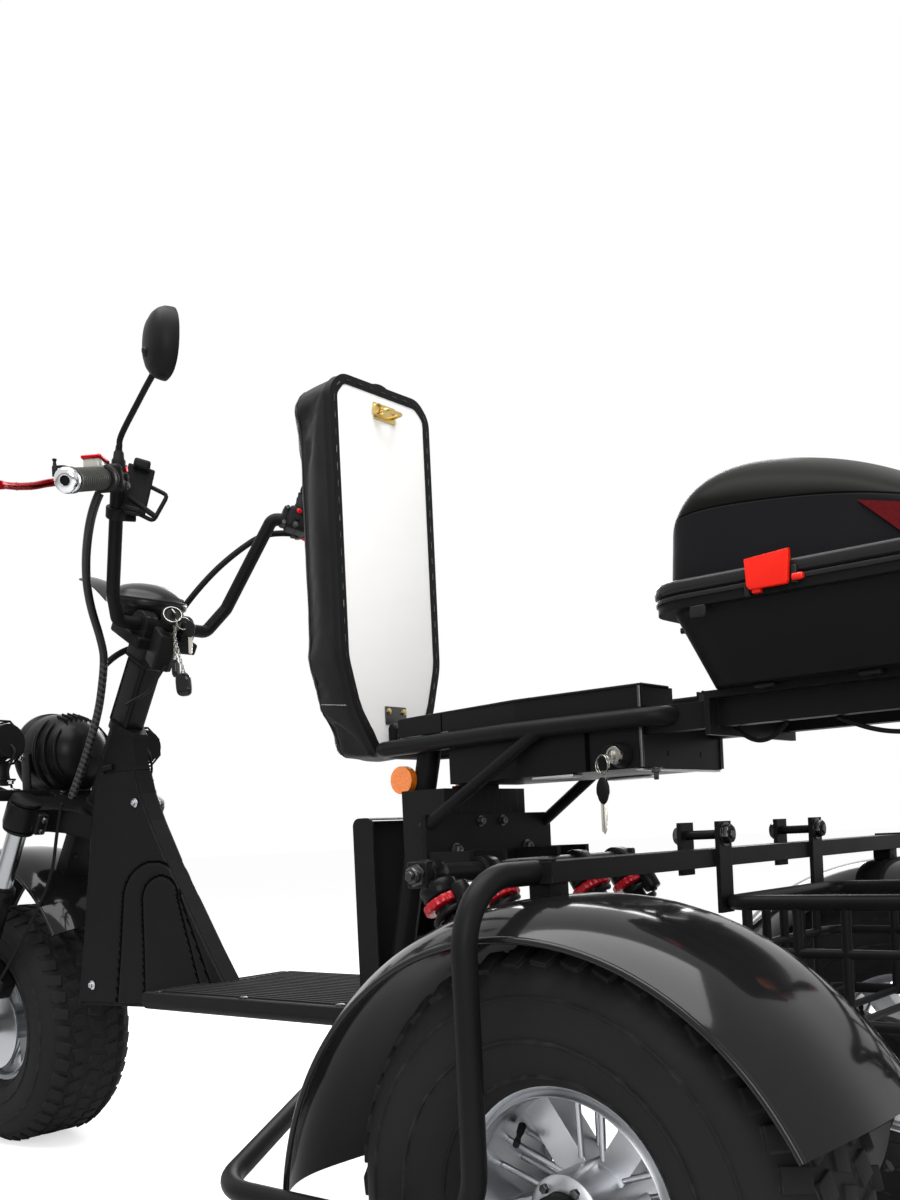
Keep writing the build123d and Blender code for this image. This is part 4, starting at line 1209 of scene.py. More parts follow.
def makeHousings():
    bm = bmesh.new()
    for side in (1, -1):
        inner, along = gripLine(side)[:2]
        centre = onSide(bars["pod"], side)
        turn = turnTo(along)
        back = turn @ Vector((0, 1, 0)) * (1 if side > 0 else -1)
        addBlock(bm, centre + along * 0.003, (40, 45, 41), turn, soft=9, segments=4)
        addBlock(bm, centre - along * 0.02, (12, 34, 34), turn, soft=5, segments=3)
        addBlock(bm, centre + along * 0.003, (1.4, 46.2, 42.2), turn, soft=0.5, finish=1)
        for lift, look, radius in ((0.011, 2, 4.6), (-0.001, 1, 5.2), (-0.013, 3, 4.2)):
            spot = centre + back * 0.0215 + turn @ Vector((0, 0, lift))
            addLathe(bm, [(0, -1), (radius + 1.4, -1), (radius + 1.4, 0.8), (radius, 0.8), (radius, 3.6),
                (radius - 1, 4.6), (0, 4.9)], spot, back, 20, look)
        for lift in (0.014, -0.014):
            addLathe(bm, cap((3.4, 0), (3.4, 2), (1.8, 2.2), (1.6, 1.2)),
                centre + along * -0.02 + turn @ Vector((0, 0, lift)) + back * 0.017, back, 12, 4)
    finishPiece("switch_housings", bm, "steering",
        ["darkPlastic", "softRubber", "redAnodised", "greySheath", "steelBolt"],
        ["control_pods"])
    bm = bmesh.new()
    for side in (1, -1):
        inner, along = gripLine(side)[:2]
        turn = turnTo(along)
        tank = onSide(bars["reservoir"], side)
        flat = turnTo((along.x, along.y, 0))
        addBlock(bm, tank, (32, 27, 17), flat, soft=5, segments=3)
        addBlock(bm, tank + Vector((0, 0, 0.01)), (36, 31, 5), flat, soft=2.2, finish=1, segments=3)
        for dx, dy in ((13, 11), (-13, -11)):
            addLathe(bm, [(0, 0), (2.2, 0), (2.2, 1.1), (0.9, 1.2), (0, 0.7)],
                near(tank, flat, dx, dy, 12.4), (0, 0, 1), 12, 2)
        # Pump body from the tank forward to the lever pivot
        front = onSide((1014, 236, 1112), side)
        addTube(bm, softPath([tank + Vector((0.004, 0, -0.008)),
            (tank + front) / 2 + Vector((0, 0, -0.006)), front], 4), 9.5, 20, 3)
        clampMid = inner + along * 0.02
        addLathe(bm, [(11.2, -8), (19, -8), (20.4, -6), (20.4, 6), (19, 8), (11.2, 8)], clampMid, along, 32,
            3)
        addBlock(bm, front, (26, 24, 15), turnTo((1, 0.2 * side, 0)), soft=3.5, finish=3, segments=3)
        addLathe(bm, [(0, -9), (5, -9), (5, 9), (3.4, 10), (0, 10)],
            front + Vector((0.006, 0.002 * side, 0)), (0, 0, 1), 18, 2)
    finishPiece("brake_reservoirs", bm, "steering",
        ["tankPlastic", "redAnodised", "steelBolt", "darkPlastic"], ["brake_levers"])
    bm = bmesh.new()
    for side in (1, -1):
        path = softPath([onSide(p, side) for p in bars["lever"]], 6)
        rings = []
        for k, point in enumerate(path):
            ahead = path[min(k + 1, len(path) - 1)] - path[max(k - 1, 0)]
            turn = turnTo(ahead)
            share = k / (len(path) - 1)
            deep, tall = (6.5 - 2.0 * share, 6.2 - 1.2 * share)
            if share > 0.93:
                deep, tall = deep * 1.25, tall * 1.25
            rings.append([near(point, turn, 0, math.cos(a) * deep * 0.75,
                signedPower(math.sin(a), 0.7) * tall) for a in turns(18)])
        addRings(bm, rings)
        for share in (0.35, 0.55, 0.75):
            spot = path[int(len(path) * share)]
            addLathe(bm, [(0, -5.6), (1.6, -5.6), (1.6, 5.6), (0, 5.6)], spot, (0, 0, 1), 12, 1)
        # Adjuster and stop switch ahead of the lever
        knob = onSide((1012, 262, 1128), side)
        addLathe(bm, [(0, -13), (4.4, -12), (4.4, 2), (3.2, 4), (2.2, 10), (3.4, 12), (3.4, 14), (0, 15)],
            knob, (0, 0, 1), 18, 2)
        addTube(bm, softPath([knob + Vector((0, 0, 0.002)), onSide((1004, 250, 1131), side),
            onSide((992, 240, 1124), side)], 5), 2.2, 10, 2)
    finishPiece("lever_blades", bm, "steering", ["redAnodised", "steelBolt", "darkPlastic"],
        sharp=50)


def makeHolder():
    bm = bmesh.new()
    centre = at(*bars["holder"])
    lean = turnTo((-0.72, 0.5, 0.0), (-0.3, -0.1, 0.95))
    addBlock(bm, centre, (11, 42, 74), lean, soft=3, segments=3)
    addBlock(bm, centre + lean @ Vector((0.012, 0, 0.036)), (24, 26, 15), lean, soft=5, segments=3)
    addBlock(bm, centre + lean @ Vector((0.01, 0, -0.037)), (22, 26, 8), lean, soft=2.5, segments=3)
    addBlock(bm, centre + lean @ Vector((0.02, 0, -0.044)), (7, 20, 5), lean)
    addBlock(bm, centre + lean @ Vector((-0.012, 0, -0.004)), (18, 24, 28), lean, soft=4, segments=3)
    rim = [(-19, -24), (19, -24), (19, 24), (-19, 24)]
    corner = []
    for k in range(4):
        a, b, c = (Vector((rim[(k + d) % 4][0], rim[(k + d) % 4][1])) for d in (-1, 0, 1))
        p, q = b + (a - b).normalized() * 7, b + (c - b).normalized() * 7
        corner += [p * (1 - t) ** 2 + b * 2 * t * (1 - t) + q * t * t for t in (0, 0.33, 0.67, 1)]
    loopTurn = turnTo((-0.6, 0.62, 0.1), (-0.46, -0.2, 0.86))
    hub = at(985, 112, 1098)
    addTube(bm, [near(hub, loopTurn, 0, p.x, p.y) for p in corner], 3.4, 12, closed=True)
    addTube(bm, [hub + loopTurn @ Vector((0, 0.019, -0.016)),
        centre + lean @ Vector((0.004, -0.01, -0.016))], 4.5, 12)
    finishPiece("phone_clip", bm, "steering", ["darkPlastic"], ["phone_holder"])
    bm = bmesh.new()
    addLathe(bm, [(11.2, -9), (15.4, -9), (16.4, -7.5), (16.4, 7.5), (15.4, 9), (11.2, 9)],
        at(1022, 149, 1084), (-85, 42, 150), 28)
    addBlock(bm, at(1014, 134, 1078), (9, 26, 14), turnTo((-0.8, 0.4, 0)), soft=2.5)
    finishPiece("bar_band", bm, "steering", ["darkPlastic"])


def makeMirrors():
    bm = bmesh.new()
    for side in (1, -1):
        hub = onSide(bars["mirror"], side)
        turnAngle = math.radians(bars["mirrorTurn"])
        facing = Vector((math.cos(turnAngle), math.sin(turnAngle) * side, 0.06)).normalized()
        turn = turnTo(facing)
        rings = []
        for deep, share in ((-4, 0.93), (-5.5, 0.975), (-4.5, 1.0), (0, 1.0), (8, 0.98), (16, 0.9),
                (22, 0.78), (27, 0.58), (30, 0.32), (31, 0.08)):
            ring = []
            for n in range(48):
                a = 2 * math.pi * n / 48
                wide = 42 * signedPower(math.cos(a), 0.86)
                tall = 50 * signedPower(math.sin(a), 0.86)
                ring.append(near(hub, turn, deep, wide * share, tall * share))
            rings.append(ring)
        addRings(bm, rings)
        glass = []
        for deep, share in ((-3.2, 0.9), (-3.6, 0.88), (-3.6, 0.02)):
            glass.append([near(hub, turn, deep, 42 * share * math.cos(2 * math.pi * n / 48),
                50 * share * math.sin(2 * math.pi * n / 48)) for n in range(48)])
        addRings(bm, glass, finish=1)
        stem = [onSide(p, side) for p in ((958, 188, 1134), (951, 189, 1160), (940, 191, 1178),
            (873, 201, 1217), (820, 209, 1248))]
        stem.append(hub + turn @ Vector((0.012, 0, -0.004)))
        addTube(bm, softPath(stem, 6), 4.6, 14)
        addLathe(bm, [(0, -8), (9, -8), (10.5, -5), (10.5, 12), (8.5, 15), (7.5, 24), (5.5, 27), (4.8, 34)],
            onSide((957, 188, 1130), side), (-0.12, 0, 1), 24)
        addLathe(bm, [(0, -9), (6.5, -8), (8.5, 0), (6.5, 8), (0, 9)],
            hub + turn @ Vector((0.024, -0.002, -0.016)), turn @ Vector((1, 0, -0.5)), 18)
        addLathe(bm, cap((8.4, 0), (8.4, 7)), onSide((956, 188, 1139), side), (-0.12, 0, 1), 6, 2)
    finishPiece("mirror_pair", bm, "steering", ["darkPlastic", "chrome", "steelBolt"],
        ["mirrors"])


makeGrips()
makeHousings()
makeHolder()
makeMirrors()
print("handlebar controls are on")

# Instrument, its screen, the clamp bolts, ignition switch and keys

dash = {"origin": (1157, 0, 972), "up": (-0.22, 0, 0.975), "lock": (1042, 34, 936)}


def makeDash():
    bm = bmesh.new()
    origin, up = at(*dash["origin"]), Vector(dash["up"])
    addLathe(bm, [(0, -30), (34, -30), (44, -26), (54, -12), (62, -2), (67.5, 2), (68.5, 6), (68.5, 12),
        (66, 15), (64.5, 15.5), (62, 21), (54, 28), (42, 34.5), (28, 38.5), (14, 40.6), (0, 41)], origin,
            up, 72)
    across = turnTo((0, 1, 0), up)
    rim = [origin + up * 0.0135 + across @ Vector((math.cos(a), math.sin(a), 0)) * 0.0672
        for a in turns(72)]
    addTube(bm, rim, 1.6, 8, 1, closed=True)
    finishPiece("instrument_dome", bm, "steering", ["domeGloss", "darkPlastic"],
        ["instrument"], sharp=60)
    bm = bmesh.new()
    tilt = 0.54
    forward = Vector((math.cos(tilt), 0, math.sin(tilt)))
    normal = Vector((-math.sin(tilt), 0, math.cos(tilt)))
    rings = []
    for share in range(13):
        t = share / 12
        middle = at(1262, 0, 1024) + forward * (t - 0.5) * 0.104 + normal * 0.006 * math.sin(t * math.pi)
        half = 38 - 8 * t ** 2
        ring = []
        for n in range(17):
            s = -1 + 2 * n / 16
            ring.append(middle + Vector((0, s * half / 1000, 0)) - normal * 0.006 * s * s)
        for n in range(16, -1, -1):
            s = -1 + 2 * n / 16
            ring.append(middle + Vector((0, s * half / 1000, 0)) - normal * (0.006 * s * s + 0.0028))
        rings.append(ring)
    addRings(bm, rings)
    for side in (1, -1):
        addTube(bm, [at(1222, side * 24, 1000), at(1205, side * 26, 984)], 3.2, 10, 1)
    finishPiece("dash_screen", bm, "steering", ["greyScreen", "darkPlastic"])


front = {
    "steerX": 1324, "steerZ": 620, "rake": 32, "lamp": (1390, 0, 735), "spot": (1402, 148, 752),
    "signal": (1420, 104, 664),
    "legP": 35, "legY": 132, "axle": (1590, 0, wheelRise),
}
steerUp = Vector((-math.sin(math.radians(front["rake"])), 0, math.cos(math.radians(front["rake"]))))
steerAhead = Vector((math.cos(math.radians(front["rake"])), 0, math.sin(math.radians(front["rake"]))))
steerTurn = turnTo(steerAhead, steerUp)


def steered(s, p, y):
    return at(front["steerX"], y, front["steerZ"]) + (steerUp * s + steerAhead * p) / 1000


def makeClamps():
    bm = bmesh.new()
    for y in (38, -38):
        addLathe(bm, [(11.2, -13), (22, -13), (23.4, -11.5), (23.4, 11.5), (22, 13), (11.2, 13)],
            steered(377, -14, y), (0, 1, 0), 32)
        addBlock(bm, steered(366, -14, y), (48, 28, 16), steerTurn, soft=3, segments=3)
        for p in (-33, 5):
            for dy in (-7, 7):
                addLathe(bm, cap((5.2, 0), (5.4, 0.6), (5.4, 5.2), (4.8, 6), (2.9, 6), (2.7, 3.4)),
                    steered(390, p * 0.62 - 4, y + dy), steerUp, 20, 1)
    addBlock(bm, steered(351, 0, 0), (84.6, 124.6, 21), steerTurn, soft=5, segments=3)
    addLathe(bm, cap((14, 0), (15, 1), (15, 6), (13, 8), (6, 8), (5, 6.5)), steered(361, 14, 0), steerUp, 6,
        1)
    finishPiece("bar_clamps", bm, "steering", ["satinBlack", "steelBolt"])
    bm = bmesh.new()
    addBlock(bm, steered(258, 2, 0), (48, 42, 168), steerTurn, soft=8, segments=4)
    addBlock(bm, steered(322, -4, 0), (66, 54, 38), steerTurn, soft=4, segments=3)
    addBlock(bm, steered(382, 20, 0), (18, 56, 40), steerTurn, soft=3, segments=3)
    addLathe(bm, cap((22, 0), (22, 232), (20, 234)), steered(-42, 0, 0), steerUp, 40)
    for y in (21, -21):
        addTube(bm, [steered(334, 24, y), steered(182, 24, y)], 1.5, 8)
    finishPiece("stem_shell", bm, "steering", ["shellBlack"], ["steering_stem"])
    bm = bmesh.new()
    # Switch box under the left clamp with its round lock facing the rider
    lock = at(*dash["lock"])
    facing = Vector((-0.8, 0.42, 0.42)).normalized()
    addLathe(bm, [(0, -26), (15, -26), (17, -22), (17, -3), (18.4, -1), (18.4, 3), (16.6, 5), (13, 5.4),
        (12, 4.2), (6, 4.2), (5.4, 5), (0, 5)], lock, facing, 36, 0)
    addTube(bm, circle(lock + facing * 0.0045, turnTo(facing), 0.0148, 40), 1.1, 8, 1, closed=True)
    addBlock(bm, at(1078, 32, 886), (46, 30, 62), turnTo((0.8, -0.3, 0.53), (-0.48, 0, 0.87)), soft=4,
        segments=3)
    addBlock(bm, lock + facing * 0.009, (12, 2.2, 10), turnTo(facing, (0, 0.5, 1)), soft=0.8, finish=1)
    addTube(bm, softPath(several(((1066, 34, 858), (1078, 40, 840), (1104, 42, 818), (1150, 40, 808),
        (1180, 34, 804))), 6), 2.4, 10, 0)
    # Spare key with its moulded head, hanging by the ring
    ring = lock + Vector((-0.014, 0.006, -0.016))
    addTube(bm, circle(ring, turnTo((0.4, 1, 0)), 0.0085, 28), 0.9, 8, 1, closed=True)
    join = turnTo((0.75, -0.66, 0))
    addTube(bm, circle(at(1019, 30, 921), join, 0.01, 28), 0.8, 8, 1, closed=True)
    head = at(1012, 22, 911)
    flat = turnTo((-0.5, 0.85, 0.1), (0, 0.05, 1))
    oval = [(9.5 * math.cos(a) * (1.0 if math.sin(a) > 0 else 0.82), 14 * math.sin(a)) for a in turns(28)]
    addPlate(bm, oval, head, flat, 6, 1.6, 0)
    addPlate(bm, [(-3.6, -12), (3.6, -12), (3.6, -30), (2.4, -32), (3.2, -34.5), (1.8, -37), (2.6, -39.5),
        (0, -43), (-3.6, -40)], head, flat, 1.8, 0.3, 2)
    split = at(1029, 40, 892)
    link = [ring.lerp(at(1033, 39, 874), 0.2 + 0.105 * k) for k in range(9)]
    link += [split.lerp(at(1011, 42, 847), 0.06 + 0.118 * k) for k in range(9)]
    for k, spot in enumerate(link):
        way = turnTo((1, 0.3, 0) if k % 2 else (0.3, 1, 0))
        addTube(bm, [near(spot, way, 0, math.cos(a) * 2.6, math.sin(a) * 3.8) for a in turns(16)], 0.8, 6,
            1, closed=True)
    fobs = ((at(1034, 38, 848), (7.5, 15, 9), (0.86, 0.4, 0.0)),
        (at(1010, 42, 818), (12.5, 19, 11), (-0.62, 0.78, 0.0)))
    for spot, (wide, tall, thick), facingWay in fobs:
        way = turnTo(facingWay, (0.06, 0, 1))
        rings = []
        for deep, share in ((-0.5, 0.5), (-0.47, 0.86), (-0.3, 1.0), (0.3, 1.0), (0.47, 0.86), (0.5, 0.5)):
            rings.append([near(spot, way, deep * thick, signedPower(math.cos(a), 0.6) * wide * share,
                signedPower(math.sin(a), 0.6) * tall * share) for a in turns(36)])
        addRings(bm, rings, finish=3)
        addLathe(bm, cap((4.4, 0), (4.4, 3), (2.5, 4.5)), spot + Vector((0, 0, tall / 1000 - 0.001)),
            (0, 0, 1), 16, 1)
        addTube(bm, circle(spot + Vector((0, 0, tall / 1000 + 0.0055)), turnTo((0, 1, 0)), 0.0034, 16), 0.8,
            6, 1, closed=True)
    finishPiece("ignition_and_keys", bm, "steering",
        ["darkPlastic", "lockChrome", "keyBrass", "glossBlack"])


makeDash()
makeClamps()
print("dash and keys are on")

# Lamps, signals, lower clamp, fork and cables at the front

def makeHeadlamp():
    bm = bmesh.new()
    hub = at(*front["lamp"])
    shell = [(0, -46), (14, -45.6), (28, -43.5), (41, -38), (53, -28.5), (63, -15), (70, 0), (75, 16),
        (78, 34), (79, 52), (79, 64)]
    addLathe(bm, shell + [(81, 65.5), (82.5, 68), (82.5, 78), (80, 81.5), (76, 81.5), (75, 79), (74, 79)],
        hub, (1, 0, 0), 72)
    addLathe(bm, [(0, 84), (30, 83), (56, 80.6), (75, 76), (75, 74), (0, 74)], hub, (1, 0, 0), 56, 1)
    # Crescent louvres on the shell's flanks and slots over its top
    for along, radius, start, stop in ((-22, 61.5, -52, 46), (-4, 71.5, -58, 52), (16, 77.5, -60, 56)):
        for flip in (1, -1):
            path, taper = [], []
            for n in range(23):
                t = n / 22
                a = math.radians(start + (stop - start) * t)
                path.append(hub + Vector((along / 1000, flip * math.cos(a) * radius / 1000,
                    math.sin(a) * radius / 1000)))
                taper.append(0.8 + 3.4 * math.sin(t * math.pi) ** 0.7)
            addTube(bm, path, 3, 10, 0, taper)
    for n in range(6):
        a = math.radians(66 + n * 9.6)
        out = Vector((0, math.cos(a), math.sin(a)))
        addBlock(bm, hub + Vector((-0.004 + 0.001 * n, 0, 0)) + out * 0.0705, (34, 2.6, 7),
            turnTo((1, 0.0, 0.32), out), soft=1, finish=2)
    addLathe(bm, [(0, -52), (9, -52), (10, -49), (12, -44), (12, -38)], hub, (1, 0, 0), 24, 2)
    for side in (1, -1):
        addLathe(bm, cap((8, 0), (8, 3), (5.5, 3.4), (5.5, 8), (3, 8.4), (3, 6)),
            hub + Vector((0.052, side * 0.0785, -0.004)), (0, side, 0), 20, 3)
        addBlock(bm, hub + Vector((0.04, side * 0.0805, -0.04)), (26, 4, 84), soft=1.6)
    addBlock(bm, at(1397, 0, 672), (30, 46, 14), soft=3)
    finishPiece("headlamp_shell", bm, "steering", ["shellBlack", "clearLens", "softRubber", "chrome"],
        ["headlamp"], sharp=50)


def makeSpots():
    bm = bmesh.new()
    for side in (1, -1):
        x, y, z = front["spot"]
        hub = at(x, y * side, z)
        facing = Vector((1, 0.1 * side, -0.06)).normalized()
        turn = turnTo(facing)
        profile = [(0, -33)]
        for n in range(7):
            start = -33 + n * 5.2
            profile += [(30, start), (30.6, start + 0.6), (30.6, start + 2.0), (30, start + 2.6),
                (22, start + 2.7), (22, start + 5.1)]
        profile += [(31, 4), (33.5, 6), (34.5, 10), (34.5, 20), (32, 22), (30, 22), (29.5, 20)]
        addLathe(bm, profile, hub, facing, 40)
        addLathe(bm, [(0, 22.5), (18, 21.6), (29.5, 19.5), (29.5, 18), (0, 18)], hub, facing, 32, 1)
        for along in (-14, 31):
            ring = [near(hub, turn, along, 41 * math.cos(a), 41 * math.sin(a))
                for a in (math.radians(22.5 + 45 * n) for n in range(8))]
            addTube(bm, ring, 2.1, 10, 0, closed=True)
        for n in range(8):
            a = math.radians(22.5 + 45 * n)
            edge = Vector((0, 41 * math.cos(a), 41 * math.sin(a)))
            addTube(bm, [hub + turn @ (Vector((-14, 0, 0)) + edge) / 1000,
                hub + turn @ (Vector((31, 0, 0)) + edge) / 1000], 1.9, 8)
        for offset in (-14, 14):
            addTube(bm, [near(hub, turn, 31, offset, -38), near(hub, turn, 31, offset, 38)], 1.8, 8)
        # Cradle under the lamp, side bolts, and the post with its nut
        cradle = [near(hub, turn, -4, 35.5 * math.cos(a), 35.5 * math.sin(a))
            for a in (math.radians(t) for t in range(180, 361, 12))]
        for k in range(len(cradle) - 1):
            middle, along = (cradle[k] + cradle[k + 1]) / 2, cradle[k + 1] - cradle[k]
            addBlock(bm, middle, (along.length * 1000 + 2.2, 16, 2.6), turnTo(along, hub - middle),
                soft=0.5)
        for dy in (36.5, -36.5):
            addLathe(bm, cap((7.5, 0), (7.5, 1.4), (5.2, 1.6), (5.2, 5.6), (4, 6.4), (2, 6.4), (2, 4.4)),
                near(hub, turn, -4, dy, 0), turn @ Vector((0, math.copysign(1, dy), 0)), 6, 2)
        foot = at(1390, 148 * side, 694)
        addBlock(bm, foot + Vector((0, 0, 0.003)), (12, 15, 44), soft=2.5)
        addBlock(bm, foot + Vector((0, 0, -0.008)), (26, 30, 3), soft=1)
        for spot in (foot + Vector((0.014, 0.004, -0.01)), foot + Vector((-0.01, -0.006, -0.01))):
            addLathe(bm, [(0, 0), (8, 0), (8, 1.5), (5.4, 1.7), (5.4, 6), (0, 6.4)], spot, (0, 0, -1), 6,
                finish=2)
        addTube(bm, softPath([near(hub, turn, -33, 0, -8), near(hub, turn, -44, 2, -24),
            foot + Vector((-0.02, 0.004 * side, 0.006)), foot + Vector((-0.006, -0.01 * side, -0.022))], 6),
                2.3, 8, 3)
    finishPiece("spot_lamp_pair", bm, "steering", ["satinBlack", "clearLens", "chrome", "softRubber"],
        ["spot_lamps"])


def makeSignals():
    bm = bmesh.new()
    for side in (1, -1):
        x, y, z = front["signal"]
        root = at(x, y * side, z)
        way = (0, side, 0)
        addLathe(bm, [(0, -2), (8, -2), (8, 6), (6.6, 8), (6.2, 22), (8, 27), (12.5, 38), (16, 50),
            (17, 60), (17, 70)], root, way, 36)
        addLathe(bm, [(17, 70), (17.4, 70), (17, 77), (14.5, 84), (10, 89), (5, 91.4), (0, 92)], root, way,
            36, 1)
        addLathe(bm, [(0, -3), (9.5, -3), (9.5, 1), (6.5, 1.4), (6.5, 5.5), (0, 6)],
            root + Vector((0, side * 0.012, 0)), way, 6, 2)
        addBlock(bm, at(1408, 109 * side, 661), (26, 11, 13), soft=2.5)
    finishPiece("front_signal_pair", bm, "steering", ["darkPlastic", "darkLens", "chrome"],
        ["front_signals"])


def makeLowerClamp():
    bm = bmesh.new()
    legY, legP, boss = front["legY"], front["legP"], 33
    outline = []
    for a in range(90, -91, -15):
        outline.append((legY + 31 * math.cos(math.radians(a)), legP + 27 * math.sin(math.radians(a))))
    outline += [(88, 10), (60, 4), (44, -8)]
    for a in range(-30, -151, -15):
        outline.append((boss * math.cos(math.radians(a)), boss * math.sin(math.radians(a)) * 0.98))
    outline += [(-44, -8), (-60, 4), (-88, 10)]
    for a in range(-90, -271, -15):
        outline.append((-legY + 31 * math.cos(math.radians(a)), legP + 27 * math.sin(math.radians(a))))
    # Plate plane: across is y, up is p, thickness along the steering axis
    turn = Matrix((steerUp, Vector((0, 1, 0)), steerAhead)).transposed()
    addPlate(bm, outline, steered(-18.5, 0, 0), turn, 49, 6)
    for side in (1, -1):
        leg = steered(-18.5, legP, legY * side)
        addLathe(bm, [(17.4, 24.5), (24, 24.5), (27, 27), (26, 31), (17.4, 33)], leg, steerUp, 40)
        addLathe(bm, [(17.4, -24.5), (25, -24.5), (28, -27), (27, -31), (17.4, -33)], leg, steerUp, 40)
        addBlock(bm, steered(-20, legP - 30, (legY - 18) * side), (18, 22, 40), steerTurn, soft=5,
            segments=3)
        for s in (-8, -30):
            addLathe(bm, cap((5, 0), (5, 5), (4.2, 5.8), (2.6, 5.8), (2.4, 3.6)),
                steered(s, legP - 39, (legY - 18) * side), steerAhead * -1, 20, 1)
    addBlock(bm, steered(0, 68.5, 0), (27, 120, 12), steerTurn, soft=2.5)
    addBlock(bm, at(1390, 0, 658), (10, 340, 20), soft=2.4)
    for y in (-40, 40):
        addLathe(bm, cap((6, 0), (6, 4.6), (4.8, 5.4)), steered(6, 70, y), steerUp, 6, 1)
    addLathe(bm, [(17.6, 0), (26, 0), (28, 2), (28, 9), (24, 12), (17.6, 12)], steered(4, 0, 0), steerUp,
        40)
    finishPiece("lower_clamp_casting", bm, "steering", ["shellBlack", "steelBolt"],
        ["lower_clamp"], sharp=45)


def makeFork():
    bm = bmesh.new()
    axle = at(*front["axle"])
    for side in (1, -1):
        y = front["legY"] * side
        addLathe(bm, [(0, -182), (17, -182), (17, 12), (15, 14), (0, 14)], steered(0, front["legP"], y),
            steerUp, 48)
        slider = [(17.2, -168), (22.5, -168), (24.5, -170), (24.5, -180), (22, -184), (21.2, -190),
            (21.2, -205), (23, -212), (23, -410), (24.5, -418), (25, -440), (24.5, -462), (21, -474),
            (14, -478), (0, -478)]
        addLathe(bm, slider, steered(0, front["legP"], y), steerUp, 48, 1)
        addLathe(bm, [(17.1, -167.6), (20.5, -167.6), (20.0, -164.5), (17.1, -163.5)],
            steered(0, front["legP"], y), steerUp, 40, 2)
        addBlock(bm, at(1588, y, 233.5), (47, 27, 57), soft=8, finish=1, segments=4)
        addBlock(bm, at(1578, y, 262), (38, 23, 44), turnTo((1, 0, -0.5)), soft=7, finish=1, segments=3)
        end = axle + Vector((0, (front["legY"] + 14) * side / 1000, 0))
        addLathe(bm, cap((15, 0), (15, 2.2), (10.8, 2.6), (10.8, 9), (9.6, 10), (6, 10), (6, 13), (5, 14)),
            end, (0, side, 0), 6, 3)
        for s in (-300, -340):
            addBlock(bm, steered(s, front["legP"] - 24, y), (9, 15, 15), steerTurn, soft=3, finish=1)
        addLathe(bm, [(12.4, 84), (18, 84), (18, 118), (12.4, 118)], axle, (0, side, 0), 32, 3)
    addLathe(bm, [(0, -150), (12, -150), (12, 150), (0, 150)], axle, (0, 1, 0), 32, 3)
    # Brake caliper on the left leg
    addBlock(bm, at(1521, 104, 322), (70, 34, 42), turnTo((0.75, 0, 0.66)), soft=8, finish=1, segments=4)
    for dx in (-18, 18):
        addLathe(bm, [(0, 0), (10, 0), (10, 3), (8, 4.5), (0, 5)],
            at(1521 + dx * 0.75, 121, 322 + dx * 0.66), (0, 1, 0), 28, 3)
    addBlock(bm, at(1541, 112, 305), (40, 10, 30), turnTo((0.75, 0, 0.66)), soft=3, finish=1)
    finishPiece("fork_legs_dressed", bm, "steering",
        ["forkChrome", "shellBlack", "softRubber", "steelBolt"], ["fork_legs"])


def makeCord(name, points, radius, look, body, replaced=()):
    curve = bpy.data.curves.new(name, "CURVE")
    curve.dimensions = "3D"
    spline = curve.splines.new("NURBS")
    spline.points.add(len(points) - 1)
    for point, place in zip(spline.points, points):
        point.co = (*at(*place), 1)
    spline.order_u = 3
    spline.use_endpoint_u = True
    spline.resolution_u = 16
    piece = addObject(name, curve)
    line = bpy.data.meshes.new_from_object(piece.evaluated_get(bpy.context.evaluated_depsgraph_get()))
    bpy.data.meshes.remove(line)
    curve.bevel_depth = radius / 1000
    curve.bevel_resolution = 6
    curve.use_fill_caps = True
    curve.materials.append(mats[look])
    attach(piece, body)
    if replaced:
        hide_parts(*replaced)
    return piece


def makeWrap():
    mat, tree, shader, place = newMaterial("spiralWrap")
    parts = put(tree, "ShaderNodeSeparateXYZ", {"Vector": place})
    lower = ramp(tree, parts.outputs["Z"], 0.876, 0.87)
    tilted = calc(tree, "ADD", parts.outputs["Z"],
        calc(tree, "MULTIPLY", calc(tree, "ADD", parts.outputs["X"], parts.outputs["Y"]), -0.42))
    wave = calc(tree, "SINE", calc(tree, "MULTIPLY", tilted, 2 * math.pi / 0.0105))
    ridgeAndHighlight = calc(tree, "MULTIPLY", ramp(tree, wave, -0.35, 0.15), lower)
    grain = addEffect(tree, "fineGrain", place, "Scale", 1300)
    # The raised turns are coloured lighter than the gaps: a painted highlight on each turn, beside the bump
    # that raises them
    base = blendColor(tree, ridgeAndHighlight, (0.004, 0.004, 0.004, 1), (0.03, 0.03, 0.031, 1))
    wire(tree, shader, {"Base Color": base, "Roughness": ramp(tree, grain.outputs["Mask"], 0.3, 0.7, 0.3,
        0.44)})
    bump = relief(tree, ridgeAndHighlight, 1.0, 0.0022)
    fine = relief(tree, grain.outputs["Height"], 0.1, 0.0006, bump.outputs["Normal"])
    wire(tree, shader, {"Normal": fine.outputs["Normal"], "Specular IOR Level": 0.3})
    mats["spiralWrap"] = mat


